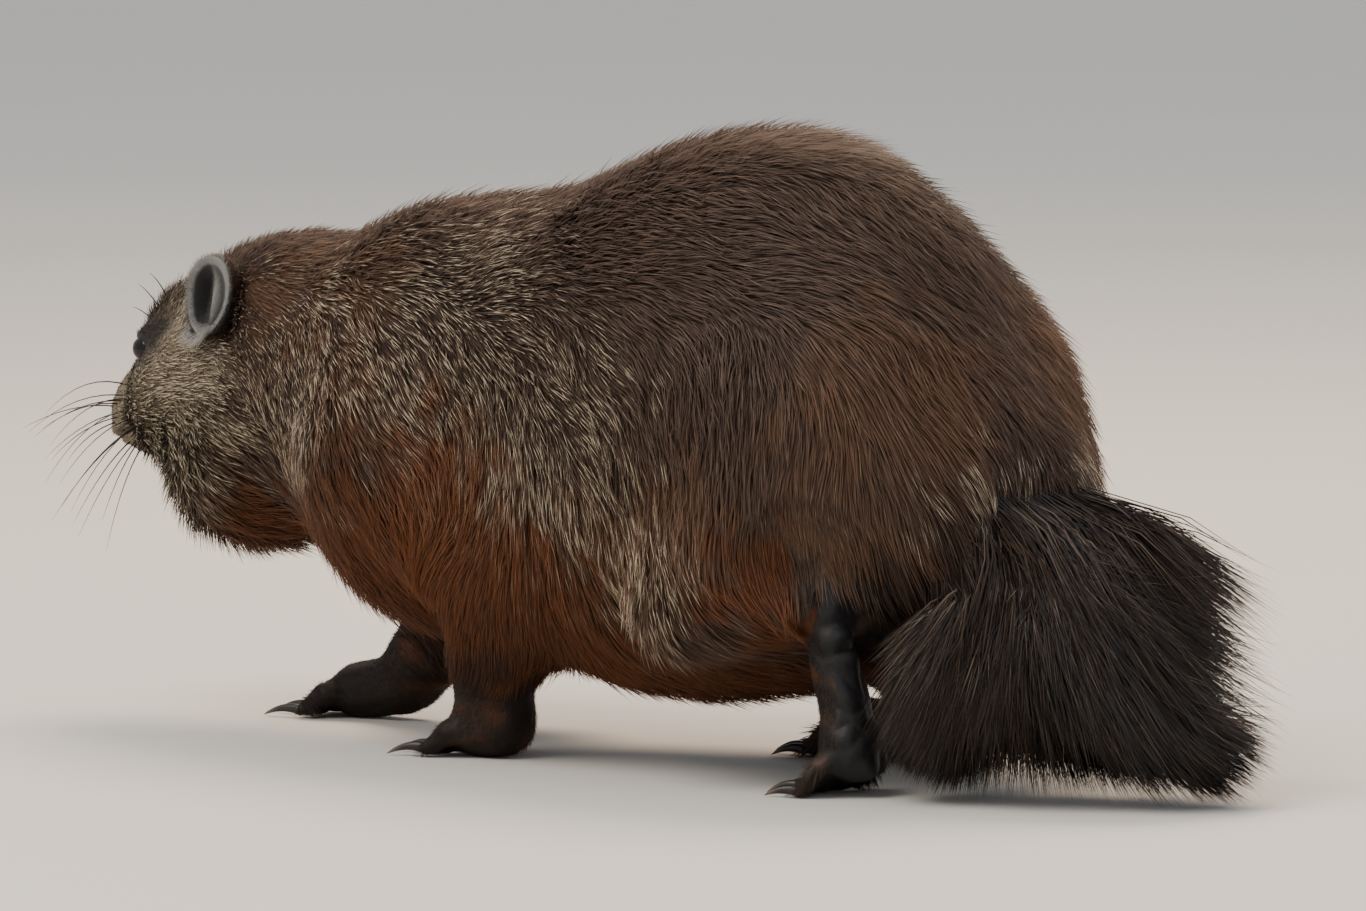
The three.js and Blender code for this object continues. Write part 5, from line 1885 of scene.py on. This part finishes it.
@dataclass
class Tail:
    """The bushy tail: long hair that fans out from the cores to the full tail's outline.

    Attributes:
        ground: The surface it grows on.
        count: How many tufts are drawn at first.
        per_piece: The most tufts in one piece.
        length: The longest hair, in millimetres.
        shortest: Hair that would come out shorter than this is left out.
        seed: Fixes the tail.
        full: The full tail's outline: ellipsoids' middles, half sizes and degrees of turn about Y.
        waver: Bends the hairs' ways in broad waves.
    """

    ground: Ground
    count: int = 34000
    per_piece: int = 17500
    length: float = 78.0
    shortest: float = 8.0
    seed: int = 97
    full: tuple[tuple[Point, Point, float], ...] = (
        ((173, -7, 57), (77, 51, 34), 40.0),
        ((132, -38, 44), (32, 46, 42), 0.0),
        ((160, -30, 36), (42, 48, 33), 0.0),
        ((140, -3, 92), (30, 27, 36), 30.0),
    )
    waver: Drift = field(default_factory=lambda: Drift(30.0, 41))

    def outside(self, points: Array) -> Array:
        """Below 1 inside the full tail's outline and above 1 outside it."""
        found = np.full(len(points), np.inf)
        for at, radii, pitch in self.full:
            turn = np.array(Euler((0.0, math.radians(pitch), 0.0)).to_matrix())
            q = (points - np.array(at)) @ turn
            found = np.minimum(found, np.linalg.norm(q / np.array(radii), axis=1))
        return found

    def _thickness(self) -> Array:
        """How thickly the hair grows on each triangle: about the cores, and most on their front."""
        points = self.ground.middles
        near_root = 8 + 8 * ease((points[:, 2] - 50) / 30)
        weight = ease((near_root - from_tail(points)) / 7) * ease((points[:, 0] - 104) / 12)
        weight *= ease((114 - points[:, 2]) / 18)
        weight *= 1 + 0.8 * ease((168 - points[:, 0]) / 30)
        return weight

    def build(self, finish: Material) -> None:
        """Makes the tail's hair, in pieces."""
        rng = np.random.default_rng(self.seed)
        roots = self.ground.scatter(self._thickness(), self.count, self.seed)
        near = [core.nearest(roots.at) for core in TAIL_CORES]
        own = np.argmin([outside for outside, _ in near], axis=0)
        t = np.choose(own, [place for _, place in near])
        ahead = np.where((own == 0)[:, None], TAIL_CORES[0].ahead(t), TAIL_CORES[1].ahead(t))
        out = across(roots.out, ahead)
        target = self.length * rng.uniform(0.55, 1.15, len(roots))
        start_lean = rng.uniform(14, 78, len(roots)) * (1 - 0.62 * t)
        ways, best = self._fan(roots, ahead, out, target, start_lean)
        kept = best > self.shortest
        roots, ways, best, out = roots.pick(kept), ways[kept], best[kept], out[kept]
        count = len(roots)
        ways = unit(ways + 0.10 * self.waver.vectors(roots.at) + 0.05 * rng.normal(size=(count, 3)))
        lines = self._lines(roots, ways, out, best * rng.uniform(0.86, 1.08, count))
        width = rng.uniform(0.55, 1.05, count)
        ashen = np.maximum(ease((150 - roots.at[:, 0]) / 30), ease((roots.at[:, 2] - 70) / 30))
        tufts = Tufts(roots, lines, width, {"chance": rng.uniform(0, 1, count), "ashen": ashen})
        order = np.argsort(roots.at[:, 0], kind="stable")
        tufts.build_pieces(order, self.per_piece, Piece("tail_hair", finish, "tail_coat", ["tail"]))

    def _fan(self, roots: Roots, ahead: Array, out: Array, target: Array, lean: Array) -> tuple[Array, Array]:
        """Leans each hair less and less until it fits inside the full tail.

        Args:
            roots: Where the hairs grow.
            ahead: The way along the tail there.
            out: The way out of it.
            target: How long each hair should be, in millimetres.
            lean: Degrees that it leans out at first.

        Returns:
            Each hair's way, and how long it can be.
        """
        best, ways = np.zeros(len(roots)), ahead.copy()
        for step in range(15):
            angle = np.radians(np.maximum(lean - 5 * step, 6))
            way = ahead * np.cos(angle)[:, None] + out * np.sin(angle)[:, None]
            reach = self._reach(roots.at, way, target)
            better = (reach > best + 1e-6) & (best < target - 1e-6)
            best = np.where(better, reach, best)
            ways = np.where(better[:, None], way, ways)
        return ways, best

    def _reach(self, starts: Array, ways: Array, target: Array) -> Array:
        """How far a hair can run before it leaves the full tail."""
        reach = target.copy()
        for share in np.linspace(1.0, 0.1, 19):
            end = starts + ways * (target * share)[:, None]
            end[:, 2] = np.maximum(end[:, 2], 2.0)
            out = (self.outside(end) > 1.0) & (reach >= target * share - 1e-6)
            reach = np.where(out, target * share - 0.05 * target, reach)
        return reach

    @staticmethod
    def _lines(roots: Roots, ways: Array, out: Array, reach: Array) -> Array:
        """The root, bend and tip of each hair, which leaves outwards and then droops."""
        root = roots.at - roots.out * 0.8
        tip = root + ways * reach[:, None]
        tip[:, 2] = np.maximum(tip[:, 2] - 2.0, 1.2)
        bend = (root + tip) / 2 + out * (0.09 * reach)[:, None]
        line = np.stack([root, bend, tip], axis=1)
        line[:, :, 2] = np.maximum(line[:, :, 2], 0.9)
        return line


@dataclass(frozen=True)
class Lamp:
    """A soft round light.

    Attributes:
        name: Its name.
        bearing: Degrees round from the camera, clockwise from above.
        height: Degrees above level.
        size: Its width, in metres.
        power: Its strength, in watts.
        tint: Its colour.
    """

    name: str
    bearing: float
    height: float
    size: float
    power: float
    tint: str


@dataclass
class Studio:
    """A plain pale floor, soft lights and the camera at the photograph's angle.

    Attributes:
        azimuth: Degrees round from the animal's left side towards its back.
        elevation: Degrees above level.
        right: How far the picture's middle lies from the animal's own middle, to the picture's right, in mm.
        up: The same, upwards.
        width: What the picture spans at the animal, in mm.
        distance: From the camera to the animal, in metres.
        sensor: The camera's sensor's width, in mm.
        floor_half: Half the floor's width, in metres.
        lamps: The lights.
        lamp_distance: How far each is from the animal, in metres.
        sky: The colour of the light from all round.
        sky_strength: Its strength.
    """

    azimuth: float = 40.0
    elevation: float = 5.0
    right: float = -29.6
    up: float = 114.9
    width: float = 505.4
    distance: float = 6.0
    sensor: float = 36.0
    floor_half: float = 8.0
    lamps: tuple[Lamp, ...] = (
        Lamp("key", -50.0, 52.0, 1.6, 42.0, "#fff4e6"),
        Lamp("fill", 45.0, 30.0, 2.4, 12.0, "#eef3ff"),
        Lamp("back", 165.0, 55.0, 1.2, 52.0, "#ffdfbe"),
    )
    lamp_distance: float = 2.2
    sky: str = "#e9ebee"
    sky_strength: float = 0.95

    def camera(self) -> None:
        """Sets up the camera."""
        a, e = math.radians(self.azimuth), math.radians(self.elevation)
        right = np.array([math.cos(a), math.sin(a), 0.0])
        up = np.array([-math.sin(a) * math.sin(e), math.cos(a) * math.sin(e), math.cos(e)])
        back = np.cross(right, up)
        aim = STANCE.metres(right * self.right + up * self.up)
        data = bpy.data.cameras.new("camera")
        data.sensor_width = self.sensor
        data.lens = self.sensor * self.distance / (self.width * MM)
        data.clip_end = 100.0
        made = link(bpy.data.objects.new("camera", data))
        turn = Matrix(np.stack([right, up, back], axis=1).tolist()).to_4x4()
        made.matrix_world = Matrix.Translation(Vector(aim + back * self.distance)) @ turn
        bpy.context.scene.camera = made

    def hang(self, lamp: Lamp) -> None:
        """Hangs a light, turned to the animal."""
        data = bpy.data.lights.new(lamp.name, "AREA")
        data.shape = "DISK"
        data.size = lamp.size
        data.energy = lamp.power
        data.color = paint(lamp.tint)[:3]
        made = link(bpy.data.objects.new(lamp.name, data))
        a, e = math.radians(self.azimuth + lamp.bearing), math.radians(lamp.height)
        way = Vector((math.sin(a) * math.cos(e), -math.cos(a) * math.cos(e), math.sin(e)))
        made.location = way * self.lamp_distance + Vector((0.0, 0.0, 0.1))
        made.rotation_euler = way.to_track_quat("Z", "Y").to_euler()

    def floor(self, finish: Material) -> None:
        """Lays the floor."""
        half = self.floor_half
        corners = [(-half, -half, 0.0), (half, -half, 0.0), (half, half, 0.0), (-half, half, 0.0)]
        mesh = mesh_of(np.array(corners), [(0, 1, 2, 3)])
        mesh.materials.append(finish)
        link(bpy.data.objects.new("floor", mesh))

    def build(self) -> None:
        """Sets up the whole studio."""
        self.camera()
        self.floor(FloorFinish().build("floor_paint"))
        for lamp in self.lamps:
            self.hang(lamp)
        world = bpy.data.worlds.new("studio")
        world.use_nodes = True
        backdrop = world.node_tree.nodes["Background"]
        backdrop.inputs["Color"].default_value = paint(self.sky)
        backdrop.inputs["Strength"].default_value = self.sky_strength
        bpy.context.scene.world = world


def main() -> None:
    """Builds the groundhog, piece by piece, and its studio."""
    logging.basicConfig(level=logging.INFO, format="%(name)s: %(message)s")
    pelt = Pelt()
    eyes = [Eye(name, side) for name, side in SIDES.items()]
    bare = BareFinish().build("bare_skin")
    lash = BareFinish("#0f0c0b", "#1f1916", 2600.0, 0.5).build("lid_skin")
    coat = CoatFinish().build("coat")
    face = Face()
    hide = Hide(pelt, eyes, face).build(CoatFinish().build_hide("hide_coat"))
    for eye in eyes:
        eye.build(EyeFinish().build(f"eye_{eye.name}_wet"), lash)
    face.nose(bare)
    Whiskers().build(tree_of(hide.data), WhiskerFinish().build("whisker"))
    ear_skin = EarFinish().build("ear_skin")
    down = DownFinish().build("ear_down")
    for name, side in SIDES.items():
        ear = Ear(name, side)
        ear.fur(ear.build(ear_skin), pelt, coat, down)
    Claws().build(HornFinish().build("horn"))
    ground = Ground(hide)
    Coat(pelt, ground, eyes, face).build(coat)
    Tail(ground).build(TailFinish().build("tail_coat"))
    Studio().build()


if __name__ == "__main__":
    main()
